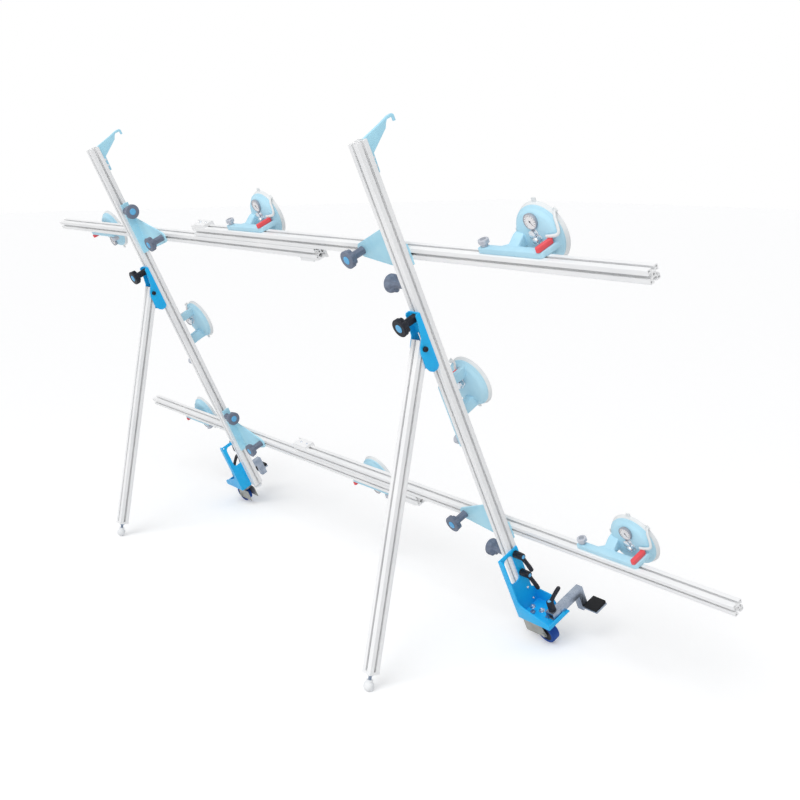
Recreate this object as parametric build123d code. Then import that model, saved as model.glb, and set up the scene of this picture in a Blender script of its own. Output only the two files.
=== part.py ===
from build123d import *
import math
import os

# A leaning carrying frame for large tiles: two telescoping halves, each with an upright, two rails,
# suction cups, a folding rear leg and a castor bracket.
# All sizes are millimetres and degrees. The frame is laid out upright and then leaned back:
#   u  across the frame (the x axis)
#   v  up along the uprights (the z axis)
#   w  distance behind the plane of the cup seals (the negative y axis)

# Whole frame
LEAN = 25.0
UPRIGHT_X = 805.0
UPRIGHT_LENGTH = 1555.0
UPRIGHT_BOTTOM = 30.0
RAIL_LENGTH = 2000.0
RAIL_OVERLAP = 780.0
LEFT_OUT = 42.0
TOP_RAIL_V = 1257.0
BOTTOM_RAIL_V = 312.0
RAIL_BACK_W = 91.0
RAIL_GAP = 0.5

# Slotted aluminium section
UPRIGHT_SIZE = 38.0
RAIL_SIZE = 35.0
LEG_SIDE_GAP = 1.0
SECTION_ROUND = 2.5
CORE_R = 3.2
CORNER_BORE_R = 2.6

# Clamp studs and slot nuts
STUD_R = 4.0
STUD_PLAY = 0.1
SEAT_GAP = 0.05
NUT_LENGTH = 20.0
NUT_GAP = 0.4

# Long neck knobs
KNOB_R = 27.0
KNOB_HEIGHT = 23.0
KNOB_LOBES = 7
NECK_R = 12.5
NECK_LENGTH = 40.0

# Clamp levers
LEVER_HUB_R = 12.0
LEVER_HUB_HEIGHT = 36.0
LEVER_ARM = 54.0
LEVER_ARM_R = 8.5
LEVER_TIP_R = 7.0
LEVER_LIFT = 24.0
ARM_LEVER_LIFT = 40.0
LEVER_SWING = 5.0

# Cross brackets
CROSS_T = 5.0
CROSS_REACH = 190.0
CROSS_TIP_R = 22.0
CROSS_RISE = 90.0
CROSS_DROP = 48.0
CROSS_FLANGE_DROP = 112.0
CROSS_FLANGE_W = 31.0
CROSS_KNOB_DROP = 85.0
CROSS_TAB_HALF = 30.0
CROSS_LEFT_SHIFT = 26.0

# Top hooks
HOOK_RISE = 13.0
HOOK_TOP_T = 8.0
HOOK_LIP_W = -12.0
HOOK_LIP_T = 6.0
HOOK_LIP_DROP = 13.0
HOOK_HEIGHT = 118.0
HOOK_MOUNT = 66.0
HOOK_TONGUE = 3.5
HOOK_PLAY = 0.1

# Rail joiners
JOINER_LENGTH = 96.0
JOINER_TOP = 11.0
JOINER_PLATE = 6.0
JOINER_KEY = 3.0
JOINER_PLAY = 0.5

# Suction cups
CUP_R = 75.0
SEAL_FLARE = 6.0
SEAL_LAND = 11.0
SEAL_H = 10.0
DOME_TOP = 34.0
DOME_WALL = 6.0
BAR_T = 16.0
BAR_DEPTH = 25.0
BAR_OFFSET = 16.5
BRIDGE_LEG = 27.0
BRIDGE_FLARE = 12.0
TAIL_LENGTH = 92.0
TAIL_KNOB_INSET = 16.0
CUP_KNOB_R = 14.5
CUP_KNOB_H = 13.0
CUP_KNOB_NECK = 6.0
TRIGGER_LIFT = 5.0
TRIGGER_REACH = 42.0
TRIGGER_R = 7.0
TRIGGER_T = 13.0
TRIGGER_GAP = 0.5
TRIGGER_PIN_R = 2.5
CUP_RIGHT_X = 1243.0
CUP_LEFT_X = 1258.0
CUP_MIDDLE_X = 12.0
CUP_UPRIGHT_V = 789.0

# Rear legs
LEG_PIVOT_V = 1003.0
LEG_FOLD_GAP = 9.0
LEG_STOP_GAP = 0.2
LEG_REACH = 966.0
LEG_END_GAP = 45.0
LEG_PLUG = 8.0
PIVOT_R = 4.0
FOOT_R = 16.0
FOOT_STUD_R = 5.0
FOOT_STUD = 66.0

# Leg brackets
CHEEK_T = 4.0
CHEEK_GAP = 0.5
CHEEK_TOP = 100.0
CHEEK_BOTTOM = 76.0
CHEEK_NECK = 16.0
SLIDE_PLAY = 0.03
WEB_LOW = 34.0
LEG_KNOB_UP = 84.0

# Castor brackets
SHEET = 4.0
CASTOR_TOP_V = 255.0
CASTOR_FLOOR_V = 28.0
CASTOR_FRONT_W = 86.0
CASTOR_SLOPE_V = 92.0
CASTOR_BACK_W = 182.0
CASTOR_OUT = 133.0
CASTOR_STRIP = 22.0
CASTOR_GUSSET_V = 80.0
CASTOR_LIP = 15.0
WINDOW_LOW = 146.0
WINDOW_HIGH = 242.0
WINDOW_FRONT = 128.0
WINDOW_BACK = 166.0
WINDOW_ROUND = 14.0
STRIP_HOLE_R = 3.2
STRIP_HOLE_INSET = 8.0
LEVER_HIGH_V = 235.0
LEVER_LOW_V = 162.0

# Castors
SWIVEL_OUT = 34.0
SWIVEL_W = 148.0
WHEEL_R = 35.0
WHEEL_HALF = 15.0
WHEEL_ROUND = 3.0
WHEEL_TRAIL = 42.0
WHEEL_HEADROOM = 20.0
HEAD_PLATE = 3.0
HEAD_SIDE = 56.0
HEAD_CUP_R = 22.0
HEAD_CUP_H = 8.0
KING_R = 5.0
CROWN_T = 3.0
CROWN_GAP = 0.6
FORK_T = 2.5
FORK_LEAD = 33.0
FORK_TOE_DROP = 8.0
FORK_SHOULDER = 9.0
FORK_SIDE_GAP = 1.5
AXLE_R = 4.0
AXLE_PLAY = 0.05

# Support arms
ARM_OUT = 111.0
ARM_SIDE = 25.0
ARM_WALL = 2.5
ARM_BACK_W = 144.0
ARM_DOWN_W = 1.5
ARM_LOW_V = -24.0
PAD_LENGTH = 50.0
PAD_HALF = 25.0
PAD_T = 10.0
PAD_PLATE = 6.0
CLAMP_T = 3.5
CLAMP_PLAY = 0.5
CLAMP_W = 130.0
CLAMP_HALF = 16.0

# Values that follow from the sizes above
LEG_SIZE = UPRIGHT_SIZE - 2 * LEG_SIDE_GAP
SMALLEST = min(RAIL_SIZE, LEG_SIZE)
SLOT_LIP = 0.115 * SMALLEST
SLOT_WIDTH = 0.46 * SMALLEST
SLOT_SIDE = 0.11 * SMALLEST
SLOT_DEPTH = 0.315 * SMALLEST
SLOT_FLOOR = 0.23 * SMALLEST
NUT_HEIGHT = SLOT_SIDE - NUT_GAP
UPRIGHT_FRONT_W = RAIL_BACK_W + CROSS_T
UPRIGHT_W = UPRIGHT_FRONT_W + UPRIGHT_SIZE / 2
UPRIGHT_BACK_W = UPRIGHT_FRONT_W + UPRIGHT_SIZE
RAIL_W = RAIL_BACK_W - RAIL_SIZE / 2
RAIL_INNER_X = RAIL_OVERLAP / 2
STUD_HOLE_R = STUD_R + STUD_PLAY
STUD_GRIP = SLOT_LIP + NUT_HEIGHT
LEG_PIVOT_GAP = LEG_SIZE / 2 + LEG_FOLD_GAP
LEG_PIVOT_W = UPRIGHT_BACK_W + LEG_PIVOT_GAP
HOOK_REST_V = UPRIGHT_BOTTOM + UPRIGHT_LENGTH + HOOK_RISE
SEAL_R = CUP_R + SEAL_FLARE
SEAL_INNER_R = CUP_R - SEAL_LAND
BRIDGE_HALF = 0.8 * CUP_R
TAIL = BRIDGE_HALF + TAIL_LENGTH
TAIL_KNOB = TAIL - TAIL_KNOB_INSET
TRIGGER_X = BRIDGE_HALF - TRIGGER_R
TRIGGER_Z = DOME_TOP + TRIGGER_LIFT
CASTOR_WALL_X = UPRIGHT_X + UPRIGHT_SIZE / 2
SWIVEL_X = CASTOR_WALL_X + SWIVEL_OUT
AXLE_X = SWIVEL_X + WHEEL_TRAIL
AXLE_V = CASTOR_FLOOR_V - WHEEL_HEADROOM - WHEEL_R
ARM_X = CASTOR_WALL_X + ARM_OUT
ARM_V = CASTOR_FLOOR_V + SHEET + CLAMP_PLAY + ARM_SIDE / 2
LEAN_SIN = math.sin(math.radians(LEAN))
LEAN_COS = math.cos(math.radians(LEAN))


def height(v, w):
    """Height of a point of the leaning frame above the frame's own origin."""
    return v * LEAN_COS - w * LEAN_SIN


GROUND = height(AXLE_V - WHEEL_R + WHEEL_ROUND, SWIVEL_W + WHEEL_HALF - WHEEL_ROUND) - WHEEL_ROUND
LEG_DROP = height(LEG_PIVOT_V, LEG_PIVOT_W) - GROUND - FOOT_R
LEG_ANGLE = LEAN + math.degrees(math.acos(LEG_DROP / LEG_REACH))
LEG_SIN = math.sin(math.radians(LEG_ANGLE))
LEG_COS = math.cos(math.radians(LEG_ANGLE))
LEG_HEAD = (LEG_PIVOT_GAP - LEG_STOP_GAP - LEG_COS * LEG_SIZE / 2) / LEG_SIN

BASE = (Align.CENTER, Align.CENTER, Align.MIN)
HANG = (Align.CENTER, Align.CENTER, Align.MAX)
TO_BACK = Rot(90, 0, 0)
TO_RIGHT = Rot(0, 90, 0)
TO_LEFT = Rot(0, -90, 0)


def at(u, v, w):
    """Location of a point given across, up and behind the cup plane."""
    return Pos(u, -w, v)


def span_box(u, v, w):
    """Box between pairs of u, v and w limits."""
    box = Box(u[1] - u[0], w[1] - w[0], v[1] - v[0])
    return at((u[0] + u[1]) / 2, (v[0] + v[1]) / 2, (w[0] + w[1]) / 2) * box


def plate_vw(points, u_low, thickness):
    """Plate square to u, drawn with (w, v) points."""
    outline = make_face(Polyline(*[(-w, v) for w, v in points], close=True))
    return Pos(u_low, 0, 0) * (Plane.YZ * extrude(outline, thickness))


def plate_uv(points, w_low, thickness):
    """Plate parallel to the cup plane, drawn with (u, v) points."""
    outline = make_face(Polyline(*points, close=True))
    return Pos(0, -w_low, 0) * (Plane.XZ * extrude(outline, thickness))


def facing(side):
    """Turn that points a piece built along z away from the middle (side 1) or the other way."""
    return TO_RIGHT if side > 0 else TO_LEFT


def mirrored(shape, side):
    """The shape itself for the right half, its mirror image for the left half."""
    return shape if side > 0 else mirror(shape, Plane.YZ)


def slotted_bar(size, length):
    """Square bar along z with a T-slot in each face."""
    half = size / 2
    side = half - SLOT_LIP
    section = RectangleRounded(size, size, SECTION_ROUND) - Circle(CORE_R)
    chamber = make_face(Polyline(
        (-SLOT_WIDTH / 2, side), (SLOT_WIDTH / 2, side), (SLOT_WIDTH / 2, side - SLOT_SIDE),
        (SLOT_FLOOR / 2, half - SLOT_DEPTH), (-SLOT_FLOOR / 2, half - SLOT_DEPTH),
        (-SLOT_WIDTH / 2, side - SLOT_SIDE), close=True))
    mouth = Pos(0, half - SLOT_LIP / 2) * Rectangle(2 * STUD_HOLE_R, SLOT_LIP + 0.2)
    corner = (half + SLOT_WIDTH / 2) / 2
    for turn in range(4):
        section -= Rot(0, 0, 90 * turn) * chamber
        section -= Rot(0, 0, 90 * turn) * mouth
        section -= Rot(0, 0, 90 * turn) * Pos(corner, corner) * Circle(CORNER_BORE_R)
    return extrude(section, length)


def slot_nut():
    """Slot nut along x with its top face at z = 0, where it meets the slot lips."""
    block = Box(NUT_LENGTH, SLOT_WIDTH - 2 * NUT_GAP, NUT_HEIGHT, align=HANG)
    return block - Cylinder(STUD_HOLE_R, 4 * NUT_HEIGHT)


def knob(radius, head, neck_r, neck, grip):
    """Lobed clamp knob along z: its stud goes down from z = 0, its neck and head go up."""
    top = fillet(Cylinder(radius, head, align=BASE).edges().filter_by(GeomType.CIRCLE), 0.14 * head)
    for spot in PolarLocations(1.22 * radius, KNOB_LOBES):
        top -= spot * Cylinder(0.4 * radius, 4 * head)
    body = Pos(0, 0, neck) * top + Pos(0, 0, SEAT_GAP) * Cylinder(neck_r, neck, align=BASE)
    return body + Pos(0, 0, 2 * SEAT_GAP) * Cylinder(STUD_R, grip + 2 * SEAT_GAP, align=HANG)


def clamp_lever(grip, lift):
    """Clamp lever along z with its arm over +x and rising by lift: hub up from z = 0, stud down."""
    hub = Pos(0, 0, SEAT_GAP) * Cone(LEVER_HUB_R, 0.84 * LEVER_HUB_R, LEVER_HUB_HEIGHT - SEAT_GAP, align=BASE)
    hub = fillet(hub.edges().filter_by(GeomType.CIRCLE).sort_by(Axis.Z)[-1], 2)
    root = Pos(0, 0, LEVER_HUB_HEIGHT - 1.3 * LEVER_ARM_R) * Rot(0, 90 - lift, 0)
    arm = Cone(LEVER_ARM_R, LEVER_TIP_R, LEVER_ARM, align=BASE)
    arm += Pos(0, 0, LEVER_ARM) * Sphere(LEVER_TIP_R)
    return hub + root * arm + Pos(0, 0, 2 * SEAT_GAP) * Cylinder(STUD_R, grip + 2 * SEAT_GAP, align=HANG)


class CupUnit:
    """One suction cup with the handle that clamps its tail bar to a slotted bar.

    Its own axes: x along the bar, y away from the bar it is clamped to, z away from the seal plane.
    """

    def __init__(self, bar_z):
        self.bar_z = bar_z
        self.bar_low = bar_z - BAR_DEPTH / 2
        self.bar_high = bar_z + BAR_DEPTH / 2

    def dome(self):
        """Dome, bridge handle and tail bar in one moulding."""
        rim = SEAL_H
        shell = revolve(Plane.XZ * make_face(Polyline(
            (0, rim), (CUP_R, rim), (CUP_R, rim + 5), (0.86 * CUP_R, DOME_TOP - 8),
            (0.55 * CUP_R, DOME_TOP - 1.5), (0, DOME_TOP), close=True)), Axis.Z)
        hollow = revolve(Plane.XZ * make_face(Polyline(
            (0, rim - 1), (SEAL_INNER_R, rim - 1), (SEAL_INNER_R, rim + 1), (0.78 * CUP_R, DOME_TOP - 15),
            (0.5 * CUP_R, DOME_TOP - 2 - DOME_WALL), (0, DOME_TOP - DOME_WALL), close=True)), Axis.Z)
        foot = BRIDGE_HALF + 6
        inner = BRIDGE_HALF - BRIDGE_LEG
        outline = make_face(Polyline(
            (-foot, rim + 4), (foot, rim + 4), (BRIDGE_HALF + 3, self.bar_high - 8),
            (BRIDGE_HALF - 5, self.bar_high), (-TAIL, self.bar_high), (-TAIL, self.bar_low + 4),
            (-BRIDGE_HALF - BRIDGE_FLARE - 14, self.bar_low + 4),
            (-BRIDGE_HALF - BRIDGE_FLARE, self.bar_low - 8), close=True))
        grip = make_face(Polyline(
            (-inner - 3, rim), (inner + 3, rim), (inner, self.bar_low - 4), (inner - 4, self.bar_low),
            (-inner + 4, self.bar_low), (-inner, self.bar_low - 4), close=True))
        bridge = Plane.XZ * extrude(outline - grip, BAR_T / 2, both=True)
        bridge = Pos(0, -BAR_OFFSET, 0) * bridge
        handle = shell + bridge - hollow
        handle -= Pos(-TAIL_KNOB, -BAR_OFFSET, self.bar_z) * Rot(90, 0, 0) * Cylinder(STUD_HOLE_R, 2 * BAR_T)
        pin_hole = Cylinder(TRIGGER_PIN_R + AXLE_PLAY, BAR_T)
        return handle - Pos(TRIGGER_X, -BAR_OFFSET + BAR_T / 2, TRIGGER_Z) * Rot(90, 0, 0) * pin_hole

    def seal(self):
        """Rubber seal with its pull tabs."""
        ring = revolve(Plane.XZ * make_face(Polyline(
            (SEAL_INNER_R, SEAL_H), (CUP_R, SEAL_H), (SEAL_R - 1, 3), (SEAL_R, 0), (SEAL_R - 5, 0),
            (SEAL_INNER_R, 4), close=True)), Axis.Z)
        for angle in (45, 90, 180):
            ring += Rot(0, 0, angle) * Pos(SEAL_R + 1, 0, 3) * Box(16, 13, 4)
        return ring

    def clamp_knob(self):
        """Small knob whose stud holds the tail bar."""
        turn = Pos(-TAIL_KNOB, -BAR_OFFSET + BAR_T / 2, self.bar_z) * Rot(-90, 0, 0)
        return turn * knob(CUP_KNOB_R, CUP_KNOB_H, 0.6 * CUP_KNOB_R, CUP_KNOB_NECK, BAR_T + STUD_GRIP)

    def nut(self):
        """Slot nut behind the clamp knob."""
        return Pos(-TAIL_KNOB, -BAR_OFFSET - BAR_T / 2 - SLOT_LIP, self.bar_z) * Rot(-90, 0, 0) * slot_nut()

    def trigger(self):
        """Release lever beside one bridge leg, turning on a pin in that leg."""
        face_y = -BAR_OFFSET + BAR_T / 2
        shape = Pos(0, TRIGGER_REACH / 2) * Rot(0, 0, 90) * SlotCenterToCenter(TRIGGER_REACH, 2 * TRIGGER_R)
        body = Plane.XZ * extrude(shape, TRIGGER_T / 2, both=True)
        body = fillet(body.edges().group_by(Axis.Y)[-1], 2)
        body = Pos(TRIGGER_X, face_y + TRIGGER_GAP + TRIGGER_T / 2, TRIGGER_Z) * body
        pin = Pos(TRIGGER_X, face_y + TRIGGER_GAP + 1, TRIGGER_Z) * Rot(90, 0, 0)
        return body + pin * Cylinder(TRIGGER_PIN_R, 7, align=BASE)


def cup_place(u, v, x_dir):
    """Location of a cup unit at (u, v) with its bar running along x_dir."""
    return Plane(origin=(u, 0, v), x_dir=x_dir, z_dir=(0, -1, 0)).location


def cup_spots(side):
    """The four cups of one half: (unit, location)."""
    top = TOP_RAIL_V if side > 0 else TOP_RAIL_V - RAIL_SIZE - RAIL_GAP
    low = BOTTOM_RAIL_V if side > 0 else BOTTOM_RAIL_V - RAIL_SIZE - RAIL_GAP
    lift = side * (RAIL_SIZE / 2 + BAR_T / 2 + BAR_OFFSET)
    along = (side, 0, 0)
    outer = CUP_RIGHT_X if side > 0 else -CUP_LEFT_X
    middle_u = CUP_MIDDLE_X if side > 0 else CUP_MIDDLE_X + LEFT_OUT
    middle_v = top if side > 0 else low
    on_rail = CupUnit(RAIL_W)
    on_upright = CupUnit(UPRIGHT_W)
    upright_u = side * UPRIGHT_X - UPRIGHT_SIZE / 2 - BAR_T / 2 - BAR_OFFSET
    return [
        (on_rail, cup_place(outer, top + lift, along)),
        (on_rail, cup_place(outer, low + lift, along)),
        (on_rail, cup_place(middle_u, middle_v + lift, along)),
        (on_upright, cup_place(upright_u, CUP_UPRIGHT_V, (0, 0, 1))),
    ]


def rail_levels(side):
    """Heights of the top and bottom rail of one half: the left pair lies below the right pair."""
    drop = 0 if side > 0 else RAIL_SIZE + RAIL_GAP
    return {"top": TOP_RAIL_V - drop, "bottom": BOTTOM_RAIL_V - drop}


def rail(side, level):
    """Rail along u at the height level."""
    start = -RAIL_INNER_X if side > 0 else RAIL_INNER_X - RAIL_LENGTH
    return at(start, level, RAIL_W) * TO_RIGHT * slotted_bar(RAIL_SIZE, RAIL_LENGTH)


def joiner(side, level):
    """Joiner at a rail's inner end: a stepped block on it and a plate keyed into the other rail's slot."""
    half = RAIL_SIZE / 2
    front = RAIL_W - half
    far = RAIL_SIZE + RAIL_GAP
    end = -RAIL_INNER_X
    block = span_box((end, end + JOINER_LENGTH), (half, half + JOINER_TOP),
                     (front - JOINER_PLATE, RAIL_BACK_W - 1))
    step = span_box((end, end + JOINER_LENGTH / 4), (half + JOINER_TOP / 2, half + 2 * JOINER_TOP),
                    (front - 2 * JOINER_PLATE, RAIL_BACK_W + 1))
    key_half = STUD_R - JOINER_PLAY / 2
    reach = far + key_half + JOINER_PLATE
    plate = span_box((end, end + JOINER_LENGTH), (-reach, half + JOINER_TOP), (front - JOINER_PLATE, front))
    relief = span_box((end - 1, end + JOINER_LENGTH + 1), (-reach - 1, -half - RAIL_GAP / 2),
                      (front - JOINER_PLAY, front + 1))
    key = span_box((end, end + JOINER_LENGTH), (-far - key_half, -far + key_half),
                   (front - JOINER_PLAY - 1, front + JOINER_KEY))
    whole = block - step + (plate - relief) + key
    if side < 0:
        whole = Rot(0, 180, 0) * whole
    return Pos(0, 0, level) * whole


def cross_shift(side):
    """How far a cross bracket's root sits past its rail: the left ones sit higher on the upright."""
    return 0 if side > 0 else CROSS_LEFT_SHIFT


def cross_bracket(shift):
    """Cross bracket about the point where upright and rail cross, drawn for the right half."""
    face = UPRIGHT_SIZE / 2
    rise = CROSS_RISE - shift
    drop = CROSS_DROP + shift
    tip = Pos(-CROSS_REACH, 0) * Circle(CROSS_TIP_R)
    root = make_face(Polyline((-face, rise), (-face - CROSS_T, rise),
                              (-face - CROSS_T, -drop), (-face, -drop), close=True))
    outline = make_hull((tip + root).edges())
    outline += Pos(-face / 2, 0) * Rectangle(3 * face, 2 * CROSS_TAB_HALF)
    outline -= Pos(-CROSS_REACH, 0) * Circle(STUD_HOLE_R)
    plate = Pos(0, -RAIL_BACK_W, 0) * (Plane.XZ * extrude(outline, CROSS_T))
    flange = span_box((-face - CROSS_T, -face), (-CROSS_FLANGE_DROP - shift, rise),
                      (RAIL_BACK_W, RAIL_BACK_W + CROSS_FLANGE_W))
    hole = at(-face, -CROSS_KNOB_DROP - shift, UPRIGHT_W) * TO_LEFT * Cylinder(STUD_HOLE_R, 4 * CROSS_T)
    return plate + flange - hole


def cross_place(side, level):
    """Location of a cross bracket: the left ones are turned half round."""
    turn = Rot(0, 0, 0) if side > 0 else Rot(0, 180, 0)
    return Pos(side * UPRIGHT_X, 0, level) * turn


def flange_seat(side, level):
    """Where the knob on the upright's side is seated."""
    out = side * (UPRIGHT_X - UPRIGHT_SIZE / 2 - CROSS_T)
    drop = CROSS_KNOB_DROP + cross_shift(side)
    return at(out, level - side * drop, UPRIGHT_W) * facing(-side)


def plate_seat(side, level):
    """Where the knob at the bracket's tip is seated."""
    return at(side * (UPRIGHT_X - CROSS_REACH), level, RAIL_BACK_W + CROSS_T) * TO_BACK


def hook(side):
    """Hook plate that stands in the upright's front slot."""
    rest = HOOK_REST_V
    top = rest + HOOK_TOP_T
    back = UPRIGHT_FRONT_W
    lip = HOOK_LIP_W - HOOK_LIP_T
    points = [(back, top - HOOK_HEIGHT), (back, rest - HOOK_RISE), (34, rest), (3, top), (lip + 5, top),
              (lip, top - 5), (lip, rest - HOOK_LIP_DROP), (HOOK_LIP_W, rest - HOOK_LIP_DROP),
              (HOOK_LIP_W, rest), (8, rest), (15, rest - 8), (20, rest - 18), (back - 15, top - HOOK_MOUNT),
              (back - 13, top - HOOK_HEIGHT)]
    width = 2 * (STUD_HOLE_R - HOOK_PLAY)
    plate = plate_vw(points, -width / 2, width)
    tongue = span_box((-width / 2, width / 2), (top - HOOK_HEIGHT, rest - HOOK_RISE - 8),
                      (back - 1, back + HOOK_TONGUE))
    return Pos(side * UPRIGHT_X, 0, 0) * (plate + tongue)


def upright(side):
    """Upright of one half."""
    return at(side * UPRIGHT_X, UPRIGHT_BOTTOM, UPRIGHT_W) * slotted_bar(UPRIGHT_SIZE, UPRIGHT_LENGTH)


def upright_foot(side):
    """Plastic end foot pressed into the upright's core."""
    disc = fillet(Cylinder(0.44 * UPRIGHT_SIZE, 10, align=HANG).edges().filter_by(GeomType.CIRCLE), 3)
    neck = Pos(0, 0, -10) * Cylinder(0.3 * UPRIGHT_SIZE, 10, align=BASE)
    peg = Cylinder(CORE_R - 0.1, 24, align=BASE)
    return at(side * UPRIGHT_X, UPRIGHT_BOTTOM, UPRIGHT_W) * (Pos(0, 0, -6) * disc + neck + peg)


def leg_place(side):
    """Location of the leg's pivot with the leg opened."""
    return at(side * UPRIGHT_X, LEG_PIVOT_V, LEG_PIVOT_W) * Rot(-LEG_ANGLE, 0, 0)


def leg_parts():
    """Leg below its pivot, its end plug and its pivot bolt."""
    low = -LEG_REACH + LEG_END_GAP
    bar = Pos(0, 0, low) * slotted_bar(LEG_SIZE, LEG_HEAD - low)
    bar -= TO_RIGHT * Cylinder(PIVOT_R + STUD_PLAY, 2 * LEG_SIZE)
    bar -= Pos(0, 0, low) * Cylinder(FOOT_STUD_R + STUD_PLAY, 2 * FOOT_STUD)
    plug = Pos(0, 0, low) * Box(LEG_SIZE, LEG_SIZE, LEG_PLUG, align=HANG)
    plug -= Pos(0, 0, low) * Cylinder(FOOT_STUD_R + STUD_PLAY, 4 * LEG_PLUG)
    reach = UPRIGHT_SIZE / 2 + CHEEK_GAP + CHEEK_T
    shank = Cylinder(PIVOT_R, 2 * reach + 2)
    head = Pos(0, 0, reach + 0.5) * extrude(RegularPolygon(1.7 * PIVOT_R, 6), 6)
    tail = Pos(0, 0, -reach - 0.5) * extrude(RegularPolygon(1.7 * PIVOT_R, 6), -7)
    room = LEG_SIDE_GAP + CHEEK_GAP
    washers = Cylinder(1.9 * PIVOT_R, room - 0.2) - Cylinder(PIVOT_R + STUD_PLAY, LEG_SIZE)
    gap_mid = LEG_SIZE / 2 + room / 2 - 0.1
    spacers = [TO_RIGHT * Pos(0, 0, sign * gap_mid) * washers for sign in (-1, 1)]
    return [bar, plug, TO_RIGHT * (shank + head + tail)] + spacers


def leg_foot():
    """Round plastic foot on a threaded stud, about the centre of its ball."""
    ball = Sphere(FOOT_R) - Pos(0, 0, 0.6 * FOOT_R) * Box(4 * FOOT_R, 4 * FOOT_R, 2 * FOOT_R, align=BASE)
    collar = Cylinder(0.62 * FOOT_R, FOOT_R + 2, align=BASE)
    stud = Cylinder(FOOT_STUD_R, FOOT_STUD, align=BASE)
    lock = Pos(0, 0, LEG_END_GAP - LEG_PLUG - 7) * extrude(RegularPolygon(1.75 * FOOT_STUD_R, 6), 6.6)
    return ball + collar + stud + lock


def leg_bracket(side):
    """Leg bracket: two cheeks behind the upright joined by a web on its back face."""
    half = UPRIGHT_SIZE / 2 + CHEEK_GAP
    back = UPRIGHT_BACK_W
    front = back + SLIDE_PLAY
    neck = back + CHEEK_NECK
    reach = LEG_PIVOT_W + LEG_SIZE / 2 - 2
    v = LEG_PIVOT_V
    points = [(front, v + CHEEK_TOP), (neck - 4, v + CHEEK_TOP), (neck, v + CHEEK_TOP - 5),
              (neck + 1, v + 70), (neck + 7, v + 32), (reach - 5, v + 9), (reach, v - 8),
              (reach, v - CHEEK_BOTTOM + 24), (reach - 8, v - CHEEK_BOTTOM + 8),
              (reach - 19, v - CHEEK_BOTTOM), (front + 9, v - CHEEK_BOTTOM), (front, v - CHEEK_BOTTOM + 9)]
    cheek = plate_vw(points, half, CHEEK_T)
    hole = at(0, v, LEG_PIVOT_W) * TO_RIGHT * Cylinder(PIVOT_R + STUD_PLAY, 8 * half)
    web = span_box((-half - CHEEK_T, half + CHEEK_T), (v + WEB_LOW, v + CHEEK_TOP),
                   (back + SLIDE_PLAY, back + CHEEK_T))
    stud_hole = at(0, v + LEG_KNOB_UP, back) * TO_BACK * Cylinder(STUD_HOLE_R, 4 * CHEEK_T)
    bracket = cheek + mirror(cheek, Plane.YZ) + web - hole - stud_hole
    nut = at(0, v + LEG_KNOB_UP, back - SLOT_LIP - SLIDE_PLAY) * TO_BACK * Rot(0, 0, 90) * slot_nut()
    return [Pos(side * UPRIGHT_X, 0, 0) * piece for piece in (bracket, nut)]


def leg_knob_seat(side):
    """Where the leg bracket's knob is seated."""
    return at(side * UPRIGHT_X, LEG_PIVOT_V + LEG_KNOB_UP, UPRIGHT_BACK_W + CHEEK_T) * TO_BACK


def castor_bracket():
    """Castor bracket of folded sheet on the outside of the right upright."""
    x = CASTOR_WALL_X
    out = x + CASTOR_OUT
    floor = CASTOR_FLOOR_V
    gusset = floor + SHEET + CASTOR_LIP
    wall = plate_vw([(UPRIGHT_FRONT_W + 2, CASTOR_TOP_V), (CASTOR_BACK_W, CASTOR_TOP_V),
                     (CASTOR_BACK_W, floor), (CASTOR_FRONT_W, floor), (CASTOR_FRONT_W, CASTOR_GUSSET_V),
                     (UPRIGHT_FRONT_W + 2, CASTOR_SLOPE_V)], x, SHEET)
    window = Pos((WINDOW_FRONT + WINDOW_BACK) / -2, (WINDOW_LOW + WINDOW_HIGH) / 2) * RectangleRounded(
        WINDOW_BACK - WINDOW_FRONT, WINDOW_HIGH - WINDOW_LOW, WINDOW_ROUND)
    wall -= Pos(x, 0, 0) * (Plane.YZ * extrude(window, 3 * SHEET, both=True))
    strip = x + CASTOR_STRIP
    back = plate_uv([(x, CASTOR_TOP_V), (strip - 8, CASTOR_TOP_V), (strip, CASTOR_TOP_V - 10),
                     (strip, CASTOR_GUSSET_V + 18), (strip + 5, CASTOR_GUSSET_V + 6),
                     (strip + 16, CASTOR_GUSSET_V), (out - 8, gusset + 4), (out, gusset - 4),
                     (out, floor), (x, floor)], CASTOR_BACK_W - SHEET, SHEET)
    front_end = ARM_X - ARM_SIDE / 2 - 4 * CLAMP_T
    front = plate_uv([(x, CASTOR_GUSSET_V), (front_end - 12, CASTOR_GUSSET_V - 6), (front_end, floor + SHEET),
                      (front_end, floor), (x, floor)], CASTOR_FRONT_W, SHEET)
    base = span_box((x, out), (floor, floor + SHEET), (CASTOR_FRONT_W, CASTOR_BACK_W))
    lip = span_box((out - SHEET, out), (floor, gusset - 4), (CASTOR_FRONT_W + 20, CASTOR_BACK_W))
    bracket = wall + back + front + base + lip
    for v in (LEVER_LOW_V, LEVER_HIGH_V):
        bracket -= at(x, v, UPRIGHT_W) * TO_RIGHT * Cylinder(STUD_HOLE_R, 4 * SHEET)
    corner = at(x, CASTOR_TOP_V - STRIP_HOLE_INSET, CASTOR_BACK_W - STRIP_HOLE_INSET)
    bracket -= corner * TO_RIGHT * Cylinder(STRIP_HOLE_R, 4 * SHEET)
    return bracket - at(SWIVEL_X, floor, SWIVEL_W) * Cylinder(KING_R + STUD_PLAY, 4 * SHEET)


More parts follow.
